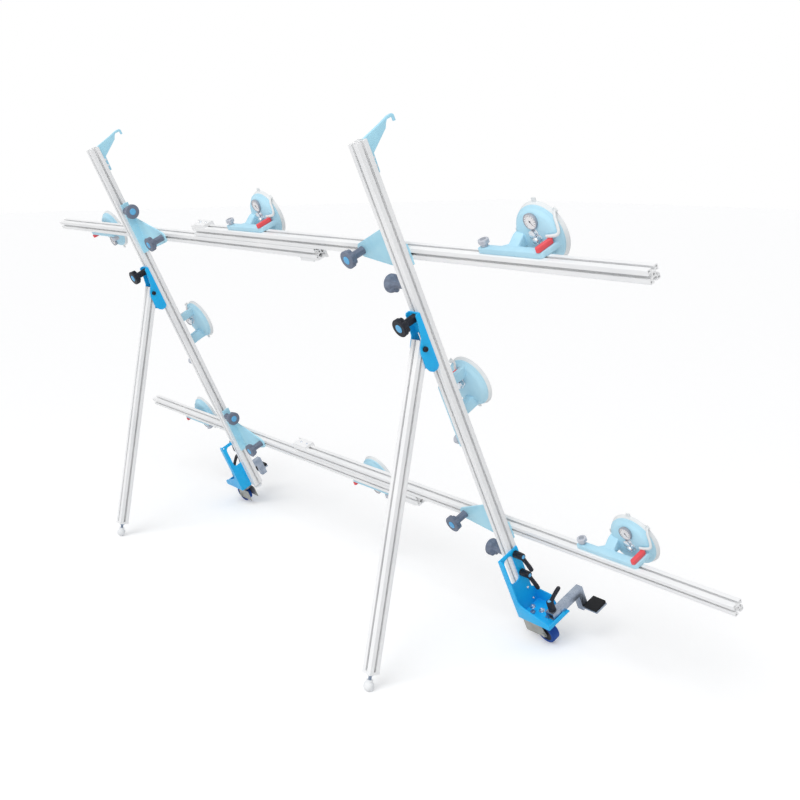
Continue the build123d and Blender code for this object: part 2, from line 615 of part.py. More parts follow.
def castor_head():
    """Castor head: plate under the floor, bearing cup and king pin with its nut."""
    plate = Box(HEAD_SIDE, HEAD_SIDE, HEAD_PLATE, align=HANG)
    cup = Pos(0, 0, -HEAD_PLATE) * Cylinder(HEAD_CUP_R, HEAD_CUP_H, align=HANG)
    crown = HEAD_PLATE + HEAD_CUP_H + CROWN_GAP + CROWN_T
    pin = Pos(0, 0, -crown - CROWN_GAP) * Cylinder(KING_R, crown + CROWN_GAP + SHEET + 8, align=BASE)
    nut = Pos(0, 0, SHEET) * extrude(RegularPolygon(1.7 * KING_R, 6), 7)
    cap = Pos(0, 0, -crown - CROWN_GAP) * Cylinder(1.6 * KING_R, 2.5, align=HANG)
    return at(SWIVEL_X, CASTOR_FLOOR_V, SWIVEL_W) * (plate + cup + pin + nut + cap)


def castor_fork():
    """Fork under the castor head, trailing away from the upright, and its axle."""
    top = CASTOR_FLOOR_V - HEAD_PLATE - HEAD_CUP_H - CROWN_GAP
    inner = WHEEL_HALF + FORK_SIDE_GAP
    outer = inner + FORK_T
    crown = at(SWIVEL_X, top, SWIVEL_W) * Cylinder(HEAD_CUP_R, CROWN_T, align=HANG)
    crown += span_box((SWIVEL_X - 6, AXLE_X - 4), (top - CROWN_T, top), (SWIVEL_W - outer, SWIVEL_W + outer))
    crown -= at(SWIVEL_X, top, SWIVEL_W) * Cylinder(KING_R + AXLE_PLAY, 8 * CROWN_T)
    eye = Pos(AXLE_X, AXLE_V) * Circle(2.4 * AXLE_R)
    base = make_face(Polyline((SWIVEL_X - 6, top), (AXLE_X - 4, top), (AXLE_X - 4, top - CROWN_T),
                              (SWIVEL_X - 6, top - CROWN_T), close=True))
    toe = Pos(SWIVEL_X - FORK_LEAD, AXLE_V - FORK_TOE_DROP) * Circle(AXLE_R)
    shoulder = Pos(SWIVEL_X - FORK_LEAD, top - FORK_SHOULDER) * Circle(AXLE_R)
    cheek = make_hull((eye + base + toe + shoulder).edges())
    cheek -= Pos(AXLE_X, AXLE_V) * Circle(AXLE_R + AXLE_PLAY)
    cheek = Plane.XZ * extrude(cheek, FORK_T)
    fork = crown
    for low in (SWIVEL_W + inner, SWIVEL_W - outer):
        fork += Pos(0, -low, 0) * cheek
    axle = Cylinder(AXLE_R, 2 * outer + 2) + Pos(0, 0, outer + 0.2) * Cylinder(1.7 * AXLE_R, 4, align=BASE)
    axle += Pos(0, 0, -outer - 0.2) * extrude(RegularPolygon(1.7 * AXLE_R, 6), -5)
    return [fork, at(AXLE_X, AXLE_V, SWIVEL_W) * TO_BACK * axle]


def wheel():
    """Wheel with a rounded tread and a hub boss on each side."""
    tread = fillet(Cylinder(WHEEL_R, 2 * WHEEL_HALF).edges().filter_by(GeomType.CIRCLE), WHEEL_ROUND)
    for sign in (-1, 1):
        dish = Cylinder(0.66 * WHEEL_R, 3) - Cylinder(2.4 * AXLE_R, 4)
        tread -= Pos(0, 0, sign * WHEEL_HALF) * dish
    tread += Cylinder(2 * AXLE_R, 2 * WHEEL_HALF + FORK_SIDE_GAP)
    return at(AXLE_X, AXLE_V, SWIVEL_W) * TO_BACK * (tread - Cylinder(AXLE_R + AXLE_PLAY, 4 * WHEEL_HALF))


def arm_clamp():
    """Clamp housing over the support arm."""
    half = ARM_SIDE / 2 + CLAMP_PLAY
    floor = CASTOR_FLOOR_V + SHEET
    top = floor + 2 * CLAMP_PLAY + ARM_SIDE
    depth = (CLAMP_W - CLAMP_HALF, CLAMP_W + CLAMP_HALF)
    shell = span_box((ARM_X - half - CLAMP_T, ARM_X + half + CLAMP_T), (floor, top + CLAMP_T), depth)
    shell -= span_box((ARM_X - half, ARM_X + half), (floor - 1, top), (depth[0] - 1, depth[1] + 1))
    foot = span_box((ARM_X - half - 4 * CLAMP_T, ARM_X - half), (floor, floor + CLAMP_T), depth)
    return shell + foot - at(ARM_X, top, CLAMP_W) * Cylinder(STUD_HOLE_R, 4 * CLAMP_T)


def support_arm():
    """Square tube arm: back through the clamp, down at its front end, with a plate for the pad."""
    half = ARM_SIDE / 2
    tube = span_box((ARM_X - half, ARM_X + half), (ARM_V - half, ARM_V + half), (ARM_DOWN_W, ARM_BACK_W))
    down = span_box((ARM_X - half, ARM_X + half), (ARM_LOW_V, ARM_V + half),
                    (ARM_DOWN_W, ARM_DOWN_W + ARM_SIDE))
    inner = half - ARM_WALL
    bore = span_box((ARM_X - inner, ARM_X + inner), (ARM_V - inner, ARM_V + inner),
                    (ARM_DOWN_W + ARM_WALL, ARM_BACK_W + 1))
    shaft = span_box((ARM_X - inner, ARM_X + inner), (ARM_LOW_V - 1, ARM_V + inner),
                     (ARM_DOWN_W + ARM_WALL, ARM_DOWN_W + ARM_SIDE - ARM_WALL))
    edge = ARM_X + half
    end = edge + PAD_LENGTH + 6
    plate = span_box((edge, end), (-PAD_T - PAD_PLATE, -PAD_T), (-PAD_HALF, PAD_HALF))
    rib = plate_uv([(edge, -PAD_T - PAD_PLATE), (end - 8, -PAD_T - PAD_PLATE), (edge, ARM_LOW_V)],
                   ARM_DOWN_W + ARM_SIDE / 2 - PAD_PLATE / 2, PAD_PLATE)
    return tube + down - bore - shaft + plate + rib


def arm_pad():
    """Rubber pad on the support arm's plate."""
    edge = ARM_X + ARM_SIDE / 2 + 4
    return span_box((edge, edge + PAD_LENGTH), (-PAD_T, 0), (-PAD_HALF, PAD_HALF))


def arm_lever_seat():
    """Where the arm clamp's lever is seated."""
    top = CASTOR_FLOOR_V + SHEET + 2 * CLAMP_PLAY + ARM_SIDE + CLAMP_T
    return at(ARM_X, top, CLAMP_W) * Rot(0, 0, 75)


def bracket_lever_seat(v):
    """Where a castor bracket's lever is seated, with its arm hanging forward of straight down."""
    return at(CASTOR_WALL_X + SHEET, v, UPRIGHT_W) * TO_RIGHT * Rot(0, 0, LEVER_SWING)


def steel_parts(side):
    """Fixed steel pieces of one half: castor head, arm clamp and slot nuts."""
    pieces = [mirrored(castor_head(), side), mirrored(arm_clamp(), side)]
    for v in (LEVER_LOW_V, LEVER_HIGH_V):
        seat = at(CASTOR_WALL_X - SLOT_LIP, v, UPRIGHT_W) * TO_RIGHT
        pieces.append(mirrored(seat * slot_nut(), side))
    for level in rail_levels(side).values():
        pieces.append(plate_seat(side, level) * Pos(0, 0, -CROSS_T - SLOT_LIP) * slot_nut())
        pieces.append(flange_seat(side, level) * Pos(0, 0, -CROSS_T - SLOT_LIP) * slot_nut())
    pieces += [spot * unit.nut() for unit, spot in cup_spots(side)]
    return pieces


def long_knob(grip):
    """Long neck knob with a stud of the given plate thickness plus the slot grip."""
    return knob(KNOB_R, KNOB_HEIGHT, NECK_R, NECK_LENGTH, grip + STUD_GRIP)


def half_nodes(side, name):
    """All named nodes of one half, each a list of separate solids; the left half is pulled out a little."""
    levels = rail_levels(side)
    cups = cup_spots(side)
    bracket = cross_bracket(cross_shift(side))
    nodes = {
        f"{name}_upright": [upright(side)],
        f"{name}_upright_foot": [upright_foot(side)],
        f"{name}_hook": [hook(side)],
        f"{name}_cross_brackets": [cross_place(side, level) * bracket for level in levels.values()],
        f"{name}_cups": [spot * unit.dome() for unit, spot in cups],
        f"{name}_cup_seals": [spot * unit.seal() for unit, spot in cups],
        f"{name}_cup_knobs": [spot * unit.clamp_knob() for unit, spot in cups],
        f"{name}_steel": steel_parts(side),
        f"{name}_castor_bracket": [mirrored(castor_bracket(), side)],
        f"{name}_fork": [mirrored(piece, side) for piece in castor_fork()],
        f"{name}_wheel": [mirrored(wheel(), side)],
        f"{name}_arm": [mirrored(support_arm(), side)],
        f"{name}_arm_pad": [mirrored(arm_pad(), side)],
        f"{name}_arm_lever": [mirrored(arm_lever_seat() * clamp_lever(CLAMP_T, ARM_LEVER_LIFT), side)],
        f"{name}_leg": [leg_place(side) * piece for piece in leg_parts()],
        f"{name}_leg_foot": [leg_place(side) * Pos(0, 0, -LEG_REACH) * leg_foot()],
        f"{name}_leg_bracket": leg_bracket(side),
        f"{name}_leg_knob": [leg_knob_seat(side) * long_knob(CHEEK_T)],
    }
    for end, level in levels.items():
        nodes[f"{name}_{end}_rail"] = [rail(side, level), joiner(side, level)]
        nodes[f"{name}_{end}_flange_knob"] = [flange_seat(side, level) * long_knob(CROSS_T)]
        nodes[f"{name}_{end}_tip_knob"] = [plate_seat(side, level) * long_knob(CROSS_T)]
    for end, v in (("upper", LEVER_HIGH_V), ("lower", LEVER_LOW_V)):
        lever = bracket_lever_seat(v) * clamp_lever(SHEET + STUD_GRIP, LEVER_LIFT)
        nodes[f"{name}_{end}_lever"] = [mirrored(lever, side)]
    for spot_name, (unit, spot) in zip(("top", "bottom", "middle", "upright"), cups):
        nodes[f"{name}_{spot_name}_cup_lever"] = [spot * unit.trigger()]
    pulled = Pos(0 if side > 0 else -LEFT_OUT, 0, 0)
    return {node: [pulled * piece for piece in pieces] for node, pieces in nodes.items()}


def leaned(shape):
    """The shape leaned back with the frame."""
    return Rot(LEAN, 0, 0) * shape


def build():
    """All nodes in the part's own frame: standing on z = 0, centred over the origin."""
    nodes = half_nodes(-1, "left") | half_nodes(1, "right")
    nodes = {node: [leaned(piece) for piece in pieces] for node, pieces in nodes.items()}
    box = Compound(children=[Compound(p.wrapped) for pieces in nodes.values() for p in pieces]).bounding_box()
    shift = Pos(-(box.min.X + box.max.X) / 2, -(box.min.Y + box.max.Y) / 2, -box.min.Z)
    return {node: [shift * piece for piece in pieces] for node, pieces in nodes.items()}, shift


def main():
    """Write one file per node."""
    os.makedirs("parts", exist_ok=True)
    nodes, shift = build()
    for node, pieces in nodes.items():
        solids = [solid for piece in pieces for solid in piece.solids()]
        export_step(Compound(children=solids), f"parts/{node}.step")
    print(len(nodes), "nodes, shift", shift.position)


if __name__ == "__main__":
    main()
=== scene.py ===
"""Studio scene of a leaning two-part trolley frame: finishes, small fittings, light and camera."""

import logging
import math
from dataclasses import dataclass
from enum import Enum

import bmesh
import bpy
from mathutils import Matrix, Vector

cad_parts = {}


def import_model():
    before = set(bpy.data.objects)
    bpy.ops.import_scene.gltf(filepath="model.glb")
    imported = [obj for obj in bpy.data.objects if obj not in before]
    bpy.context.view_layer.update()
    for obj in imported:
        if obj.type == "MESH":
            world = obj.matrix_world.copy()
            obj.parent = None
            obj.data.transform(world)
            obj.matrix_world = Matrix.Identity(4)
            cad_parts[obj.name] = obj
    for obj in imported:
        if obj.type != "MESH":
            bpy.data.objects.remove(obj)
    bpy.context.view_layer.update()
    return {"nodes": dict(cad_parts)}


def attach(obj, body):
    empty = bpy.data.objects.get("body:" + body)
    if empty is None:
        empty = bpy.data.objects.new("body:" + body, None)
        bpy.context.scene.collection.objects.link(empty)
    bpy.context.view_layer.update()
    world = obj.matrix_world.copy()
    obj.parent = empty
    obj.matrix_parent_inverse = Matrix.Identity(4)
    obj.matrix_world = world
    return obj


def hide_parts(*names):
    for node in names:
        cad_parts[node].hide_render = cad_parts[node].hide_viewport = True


LOG = logging.getLogger("scene")
SEED = 7
MM = 0.001
TO_METRES = Matrix.Scale(MM, 4)
TIPPED = Matrix.Rotation(math.radians(-90), 4, "X")
SIDEWAYS = Matrix(((0, 0, 1, 0), (1, 0, 0, 0), (0, 1, 0, 0), (0, 0, 0, 1)))
LEFT_OUT = 42.0
SMOOTH_LIMIT = math.radians(38.0)
ON_AXIS = 1e-6
WELD = 1e-5
FLUTE_POWER = 1.6

Colour = tuple[float, float, float]
Point = tuple[float, float, float]
Pair = tuple[float, float]
Outline = list[Pair]
Marks = list[tuple[Vector, Vector]]
Tree = bpy.types.NodeTree
Socket = bpy.types.NodeSocket

ACROSS: Point = (1.0, 0.0, 0.0)
UP: Point = (0.0, 1.0, 0.0)
BACK: Point = (0.0, 0.0, 1.0)


class Half(Enum):
    """The two telescoping halves of the frame."""

    LEFT = "left"
    RIGHT = "right"

    @property
    def sign(self) -> float:
        """Side of the middle this half is on."""
        return 1.0 if self is Half.RIGHT else -1.0

    @property
    def outward(self) -> Point:
        """Direction away from the middle."""
        return self.sign, 0.0, 0.0

    @property
    def body(self) -> str:
        """Name of the half's rigid body."""
        return f"{self.value}_frame"

    def across(self, x: float) -> float:
        """Place across of something that far from the middle; the left half is pulled out a little."""
        return x if self is Half.RIGHT else -x - LEFT_OUT


@dataclass(frozen=True)
class Layout:
    """Leaning axes of the frame; u runs across, v up the uprights, w back from the cup plane."""

    lean: float = math.radians(25.0)
    shift: Point = (21.0, 380.9378, 124.0911)
    leg_angle: float = math.radians(35.7407)
    upright_x: float = 805.0
    rail_v: Pair = (1257.0, 312.0)
    rail_drop: float = 35.5
    leg_pivot: Pair = (1003.0, 161.0)
    leg_reach: float = 966.0

    def direction(self, u: float, v: float, w: float) -> Vector:
        """World direction of a step across, up and back.

        Args:
            u: Step across.
            v: Step up the uprights.
            w: Step back from the cup plane.

        Returns:
            The direction, as long as the step.
        """
        sin, cos = math.sin(self.lean), math.cos(self.lean)
        return Vector((u, -cos * w - sin * v, -sin * w + cos * v))

    def spot(self, at: Point) -> Vector:
        """World point, in metres, of a (u, v, w) place in millimetres."""
        return (self.direction(*at) + Vector(self.shift)) * MM

    def place(self, at: Point, x_dir: Point, z_dir: Point) -> Matrix:
        """Matrix from a fitting's own millimetres to the world.

        Args:
            at: Origin of the fitting as (u, v, w) in millimetres.
            x_dir: The fitting's x axis as a (u, v, w) step.
            z_dir: The fitting's z axis as a (u, v, w) step.

        Returns:
            The 4 by 4 matrix, with the change to metres in it.
        """
        z_axis = self.direction(*z_dir).normalized()
        x_axis = self.direction(*x_dir).normalized()
        turn = Matrix((x_axis, z_axis.cross(x_axis), z_axis)).transposed().to_4x4()
        return Matrix.Translation(self.spot(at)) @ turn @ TO_METRES

    def levels(self, half: Half) -> dict[str, float]:
        """Heights of the top and bottom rail of one half.

        Args:
            half: Half of the frame.

        Returns:
            Height in millimetres by the rail's name.
        """
        drop = 0.0 if half is Half.RIGHT else self.rail_drop
        return {"top": self.rail_v[0] - drop, "bottom": self.rail_v[1] - drop}


LAYOUT = Layout()


def linear(red: int, green: int, blue: int) -> Colour:
    """Linear colour of an 8 bit screen colour.

    Args:
        red: Red from 0 to 255.
        green: Green from 0 to 255.
        blue: Blue from 0 to 255.

    Returns:
        The three linear parts.
    """
    def channel(value: int) -> float:
        """Linear part of one channel."""
        part = value / 255
        return part / 12.92 if part <= 0.04045 else ((part + 0.055) / 1.055) ** 2.4
    return channel(red), channel(green), channel(blue)


def hexagon(radius: float) -> Outline:
    """Corners of a hexagon about the origin."""
    angles = [math.radians(60 * corner) for corner in range(6)]
    return [(radius * math.cos(angle), radius * math.sin(angle)) for angle in angles]


def both_sides(side: Outline) -> Outline:
    """Closed profile of a side and its mirror image below."""
    return side + [(radius, -level) for radius, level in reversed(side)] + [side[0]]


def linked(name: str, data: bpy.types.ID) -> bpy.types.Object:
    """New object of the scene that shows the given data.

    Args:
        name: Name of the object.
        data: Mesh, lamp or camera.

    Returns:
        The object.
    """
    made = bpy.data.objects.new(name, data)
    bpy.context.scene.collection.objects.link(made)
    return made


def applied(host: bpy.types.Object, modifier: bpy.types.Modifier, name: str) -> bpy.types.Mesh:
    """Plain mesh of a host with its modifier.

    Args:
        host: Object that is only a step on the way; it is removed.
        modifier: The host's modifier.
        name: Name of the mesh.

    Returns:
        The mesh.
    """
    graph = bpy.context.evaluated_depsgraph_get()
    mesh = bpy.data.meshes.new_from_object(host.evaluated_get(graph))
    host.modifiers.remove(modifier)
    bpy.data.objects.remove(host)
    mesh.name = name
    return mesh


def settle(name: str, mesh: bpy.types.Mesh, body: str, slot: str, *nodes: str) -> None:
    """Put a finished mesh in the scene, on its body.

    Args:
        name: Name of the piece.
        mesh: Finished mesh.
        body: Body that it rides on.
        slot: Material slot that it takes its finish from; not used.
        nodes: Nodes of the frame that the piece stands for.
    """
    piece = linked(name, mesh)
    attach(piece, body)
    if nodes:
        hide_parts(*nodes)
    LOG.info("%s on %s: %d faces", name, body, len(mesh.polygons))


def reckon(tree: Tree, operation: str, first: Socket, second: Socket | float) -> Socket:
    """Math node on a value and a second value or number.

    Args:
        tree: Node tree that gets the node.
        operation: Blender's name of the operation.
        first: First value.
        second: Second value, or a plain number.

    Returns:
        The result's socket.
    """
    node = tree.nodes.new("ShaderNodeMath")
    node.operation = operation
    tree.links.new(first, node.inputs[0])
    if isinstance(second, bpy.types.NodeSocket):
        tree.links.new(second, node.inputs[1])
    else:
        node.inputs[1].default_value = second
    return node.outputs[0]


@dataclass(frozen=True)
class Finish:
    """One surface finish, made as a procedural material in the piece's own coordinates."""

    name: str
    slot: str
    tone: Colour
    shade: Colour
    metallic: float = 0.0
    rough: Pair = (0.35, 0.5)
    grain: float = 900.0
    grain_layers: float = 4.0
    stretch: Point = (1.0, 1.0, 1.0)
    turn: float = 0.0
    bump: float = 0.08
    blotch: float = 14.0
    blotch_layers: float = 3.0
    noise_range: Pair = (0.3, 0.7)
    # Edge lightening: partly wear, partly a painted highlight along the edges.
    wear_and_highlight: float = 0.0
    wear_and_highlight_tone: Colour = (0.8, 0.8, 0.8)
    wear_and_highlight_range: Pair = (0.35, 0.75)
    edge_width: float = 0.002
    edge_facing: Pair = (0.995, 0.8)
    coat: float = 0.0
    coat_rough: float = 0.12
    shine: float = 0.25

    def material(self) -> bpy.types.Material:
        """The finish's material, made at the first call and not named like a carried one.

        Returns:
            The material.
        """
        label = f"{self.name}_finish"
        made = bpy.data.materials.get(label)
        if made is None:
            made = bpy.data.materials.new(label)
            made.use_nodes = True
            self.dress(made.node_tree)
        return made

    def dress(self, tree: Tree) -> None:
        """Build the node tree.

        Args:
            tree: Node tree of a new material with its principled shader.
        """
        shader = tree.nodes["Principled BSDF"]
        for label, value in (("Metallic", self.metallic), ("Specular IOR Level", self.shine),
                             ("Coat Weight", self.coat), ("Coat Roughness", self.coat_rough)):
            shader.inputs[label].default_value = value
        coords = tree.nodes.new("ShaderNodeTexCoord")
        aligned = tree.nodes.new("ShaderNodeMapping")
        aligned.vector_type = "TEXTURE"
        aligned.inputs["Rotation"].default_value = (self.turn, 0.0, 0.0)
        aligned.inputs["Scale"].default_value = self.stretch
        tree.links.new(coords.outputs["Object"], aligned.inputs["Vector"])
        fine = self.noise(tree, aligned.outputs["Vector"], self.grain, self.grain_layers)
        broad = self.noise(tree, coords.outputs["Object"], self.blotch, self.blotch_layers)
        colour = self.blend(tree, self.ramp(tree, broad, self.noise_range), self.tone, self.shade)
        rough = self.ramp(tree, fine, self.noise_range, self.rough)
        # Edges turn towards the lighter edge tone: partly wear, partly a painted highlight.
        if self.wear_and_highlight > 0.0:
            colour = self.blend(tree, self.edges(tree, broad), colour, self.wear_and_highlight_tone)
        tree.links.new(colour, shader.inputs["Base Color"])
        tree.links.new(rough, shader.inputs["Roughness"])
        bump = tree.nodes.new("ShaderNodeBump")
        bump.inputs["Strength"].default_value = self.bump
        bump.inputs["Distance"].default_value = MM
        tree.links.new(fine, bump.inputs["Height"])
        tree.links.new(bump.outputs["Normal"], shader.inputs["Normal"])

    @staticmethod
    def noise(tree: Tree, vector: Socket, scale: float, detail: float) -> Socket:
        """Noise value at the given scale per metre.

        Args:
            tree: Node tree of the material.
            vector: Coordinates to read.
            scale: Size of the grain per metre.
            detail: Number of finer layers.

        Returns:
            The noise's socket.
        """
        node = tree.nodes.new("ShaderNodeTexNoise")
        node.inputs["Scale"].default_value = scale
        node.inputs["Detail"].default_value = detail
        tree.links.new(vector, node.inputs["Vector"])
        return node.outputs[0]

    @staticmethod
    def ramp(tree: Tree, value: Socket, limits: Pair, result: Pair = (0.0, 1.0)) -> Socket:
        """The value stretched from one pair of limits to another.

        Args:
            tree: Node tree of the material.
            value: Value to stretch.
            limits: Limits of the value.
            result: What the limits become.

        Returns:
            The stretched value's socket.
        """
        node = tree.nodes.new("ShaderNodeMapRange")
        for label, number in zip(("From Min", "From Max", "To Min", "To Max"), (*limits, *result)):
            node.inputs[label].default_value = number
        tree.links.new(value, node.inputs["Value"])
        return node.outputs[0]

    @staticmethod
    def blend(tree: Tree, factor: Socket, first: Socket | Colour, second: Colour) -> Socket:
        """Colour between two tones.

        Args:
            tree: Node tree of the material.
            factor: 0 for the first tone and 1 for the second.
            first: First tone, or the socket that gives it.
            second: Second tone.

        Returns:
            The colour's socket.
        """
        node = tree.nodes.new("ShaderNodeMix")
        node.data_type = "RGBA"
        tree.links.new(factor, node.inputs[0])
        if isinstance(first, bpy.types.NodeSocket):
            tree.links.new(first, node.inputs[6])
        else:
            node.inputs[6].default_value = (*first, 1.0)
        node.inputs[7].default_value = (*second, 1.0)
        return node.outputs[2]

    def edges(self, tree: Tree, broad: Socket) -> Socket:
        """Mask that is high along edges, where the colour turns lighter: partly rubbed wear, partly a painted
        highlight.

        Args:
            tree: Node tree of the material.
            broad: Slow noise that breaks up the wear and the painted highlight.

        Returns:
            The mask's socket.
        """
        bevel = tree.nodes.new("ShaderNodeBevel")
        bevel.samples = 4
        bevel.inputs["Radius"].default_value = self.edge_width
        plain = tree.nodes.new("ShaderNodeNewGeometry")
        facing = tree.nodes.new("ShaderNodeVectorMath")
        facing.operation = "DOT_PRODUCT"
        tree.links.new(bevel.outputs["Normal"], facing.inputs[0])
        tree.links.new(plain.outputs["Normal"], facing.inputs[1])
        sharp = self.ramp(tree, facing.outputs["Value"], self.edge_facing)
        worn_and_lit = reckon(tree, "MULTIPLY", sharp, self.ramp(tree, broad, self.wear_and_highlight_range))
        return reckon(tree, "MULTIPLY", worn_and_lit, self.wear_and_highlight)


def aluminium(name: str, stretch: Point, turn: float) -> Finish:
    """Satin anodised aluminium drawn along one direction.

    Args:
        name: Name of the finish.
        stretch: Stretch of the grain along each axis.
        turn: Turn of the grain about the x axis.

    Returns:
        The finish.
    """
    return Finish(name, "aluminium", linear(248, 248, 248), linear(238, 239, 240), metallic=0.1,
                  rough=(0.3, 0.42), grain=700.0, stretch=stretch, turn=turn, bump=0.04, blotch=5.0)


RAIL_METAL = aluminium("rail_metal", (60.0, 1.0, 1.0), LAYOUT.lean)
UPRIGHT_METAL = aluminium("upright_metal", (1.0, 1.0, 60.0), LAYOUT.lean)
LEG_METAL = aluminium("leg_metal", (1.0, 1.0, 60.0), LAYOUT.lean - LAYOUT.leg_angle)
# The edge tones below are lighter than their finishes: partly wear, partly a painted edge highlight.
PALE_METAL = Finish("pale_blue_metal", "pale_blue_metal", linear(186, 236, 252), linear(172, 226, 248),
                    rough=(0.34, 0.46), bump=0.06, wear_and_highlight=0.5, wear_and_highlight_tone=linear(225, 240, 248))
PALE_PLASTIC = Finish("pale_blue_plastic", "pale_blue_plastic", linear(190, 230, 246),
                      linear(178, 222, 241), rough=(0.4, 0.52), bump=0.07, wear_and_highlight=0.35,
                      wear_and_highlight_tone=linear(226, 242, 250))
WHITE_RUBBER = Finish("white_rubber", "white_rubber", linear(238, 240, 240), linear(224, 228, 230),
                      rough=(0.55, 0.7), grain=600.0, bump=0.1)
GREY_PLASTIC = Finish("grey_plastic", "grey_plastic", linear(208, 211, 219), linear(190, 194, 203),
                      rough=(0.42, 0.56), bump=0.12, wear_and_highlight=0.3, wear_and_highlight_tone=linear(205, 207, 212))
SLATE_PLASTIC = Finish("slate_plastic", "grey_plastic", linear(122, 131, 149), linear(104, 113, 131),
                       rough=(0.42, 0.56), bump=0.12, wear_and_highlight=0.35, wear_and_highlight_tone=linear(170, 177, 190))
RED_PLASTIC = Finish("red_plastic", "red_plastic", linear(243, 96, 102), linear(234, 82, 90),
                     rough=(0.35, 0.5), bump=0.07, wear_and_highlight=0.3, wear_and_highlight_tone=linear(248, 140, 142))
BLUE_PAINT = Finish("blue_paint", "blue_paint", linear(30, 190, 250), linear(22, 176, 242),
                    rough=(0.3, 0.42), grain=1100.0, bump=0.1, wear_and_highlight=0.6, wear_and_highlight_tone=linear(150, 212, 244),
                    coat=0.06)
BLACK_PLASTIC = Finish("black_plastic", "black_plastic", linear(32, 34, 44), linear(22, 24, 32),
                       rough=(0.38, 0.52), bump=0.14, wear_and_highlight=0.4, wear_and_highlight_tone=linear(86, 88, 100))
ZINC = Finish("zinc_plate", "zinc", linear(172, 182, 196), linear(142, 154, 172), metallic=0.85,
              rough=(0.24, 0.4), grain=260.0, bump=0.05, blotch=40.0, wear_and_highlight=0.3,
              wear_and_highlight_tone=linear(228, 232, 238))
BRIGHT_ZINC = Finish("bright_zinc", "zinc", linear(224, 228, 234), linear(206, 212, 220), metallic=0.95,
                     rough=(0.14, 0.26), grain=260.0, bump=0.03, blotch=40.0)
FORK_STEEL = Finish("fork_steel", "zinc", linear(178, 178, 172), linear(158, 158, 152), metallic=0.6,
                    rough=(0.36, 0.5), grain=320.0, bump=0.06, blotch=30.0, wear_and_highlight=0.3,
                    wear_and_highlight_tone=linear(208, 208, 204))
BLACK_RUBBER = Finish("black_rubber", "black_rubber", linear(30, 31, 34), linear(20, 21, 24),
                      rough=(0.6, 0.78), grain=500.0, bump=0.2)
WHEEL_CORE = Finish("wheel_core", "wheel", linear(28, 29, 36), linear(20, 21, 26), rough=(0.42, 0.56),
                    bump=0.1)
WHEEL_TREAD = Finish("wheel_tread", "wheel", linear(26, 82, 168), linear(20, 68, 148),
                     rough=(0.5, 0.64), grain=500.0, bump=0.16)
WHITE_PLASTIC = Finish("white_plastic", "white_plastic", linear(240, 241, 242), linear(226, 229, 232),
                       rough=(0.38, 0.5), bump=0.06)
CHROME = Finish("chrome", "zinc", linear(222, 226, 231), linear(202, 208, 215), metallic=0.9,
                rough=(0.18, 0.3), grain=300.0, bump=0.02)
DIAL = Finish("dial_white", "white_plastic", linear(244, 240, 240), linear(236, 231, 231),
              rough=(0.3, 0.4), bump=0.02, coat=0.6)
BEZEL = Finish("dial_rim", "grey_plastic", linear(170, 175, 185), linear(150, 156, 167), metallic=0.4,
               rough=(0.28, 0.4), bump=0.05)
INK = Finish("dial_marks", "black_plastic", linear(70, 72, 80), linear(54, 56, 64), rough=(0.5, 0.6))
CAP_BLUE = Finish("cap_blue", "pale_blue_plastic", linear(112, 190, 236), linear(96, 174, 226),
                  rough=(0.35, 0.48), bump=0.06)

CUP_LEVERS = ("top_cup_lever", "bottom_cup_lever", "middle_cup_lever", "upright_cup_lever")
CLAMP_KNOBS = ("top_flange_knob", "top_tip_knob", "bottom_flange_knob", "bottom_tip_knob")
CLAMP_LEVERS = ("arm_lever", "upper_lever", "lower_lever")
NODE_FINISHES: dict[str, Finish] = {
    "upright": UPRIGHT_METAL, "upright_foot": WHITE_PLASTIC, "hook": PALE_METAL,
    "cross_brackets": PALE_METAL, "cups": PALE_PLASTIC, "cup_seals": WHITE_RUBBER,
    "cup_knobs": GREY_PLASTIC, "steel": ZINC, "castor_bracket": BLUE_PAINT, "fork": FORK_STEEL,
    "wheel": WHEEL_TREAD, "arm": ZINC, "arm_pad": BLACK_RUBBER, "leg": LEG_METAL,
    "leg_foot": WHITE_PLASTIC, "leg_bracket": BLUE_PAINT, "leg_knob": BLACK_PLASTIC,
    "top_rail": RAIL_METAL, "bottom_rail": RAIL_METAL,
    **dict.fromkeys(CLAMP_KNOBS, SLATE_PLASTIC), **dict.fromkeys(CLAMP_LEVERS, BLACK_PLASTIC),
    **dict.fromkeys(CUP_LEVERS, RED_PLASTIC),
}
BODIES: dict[str, str] = {"leg_bracket": "leg_bracket", "arm": "arm", "arm_pad": "arm", "fork": "fork",
                          **dict(zip(CUP_LEVERS, CUP_LEVERS))}


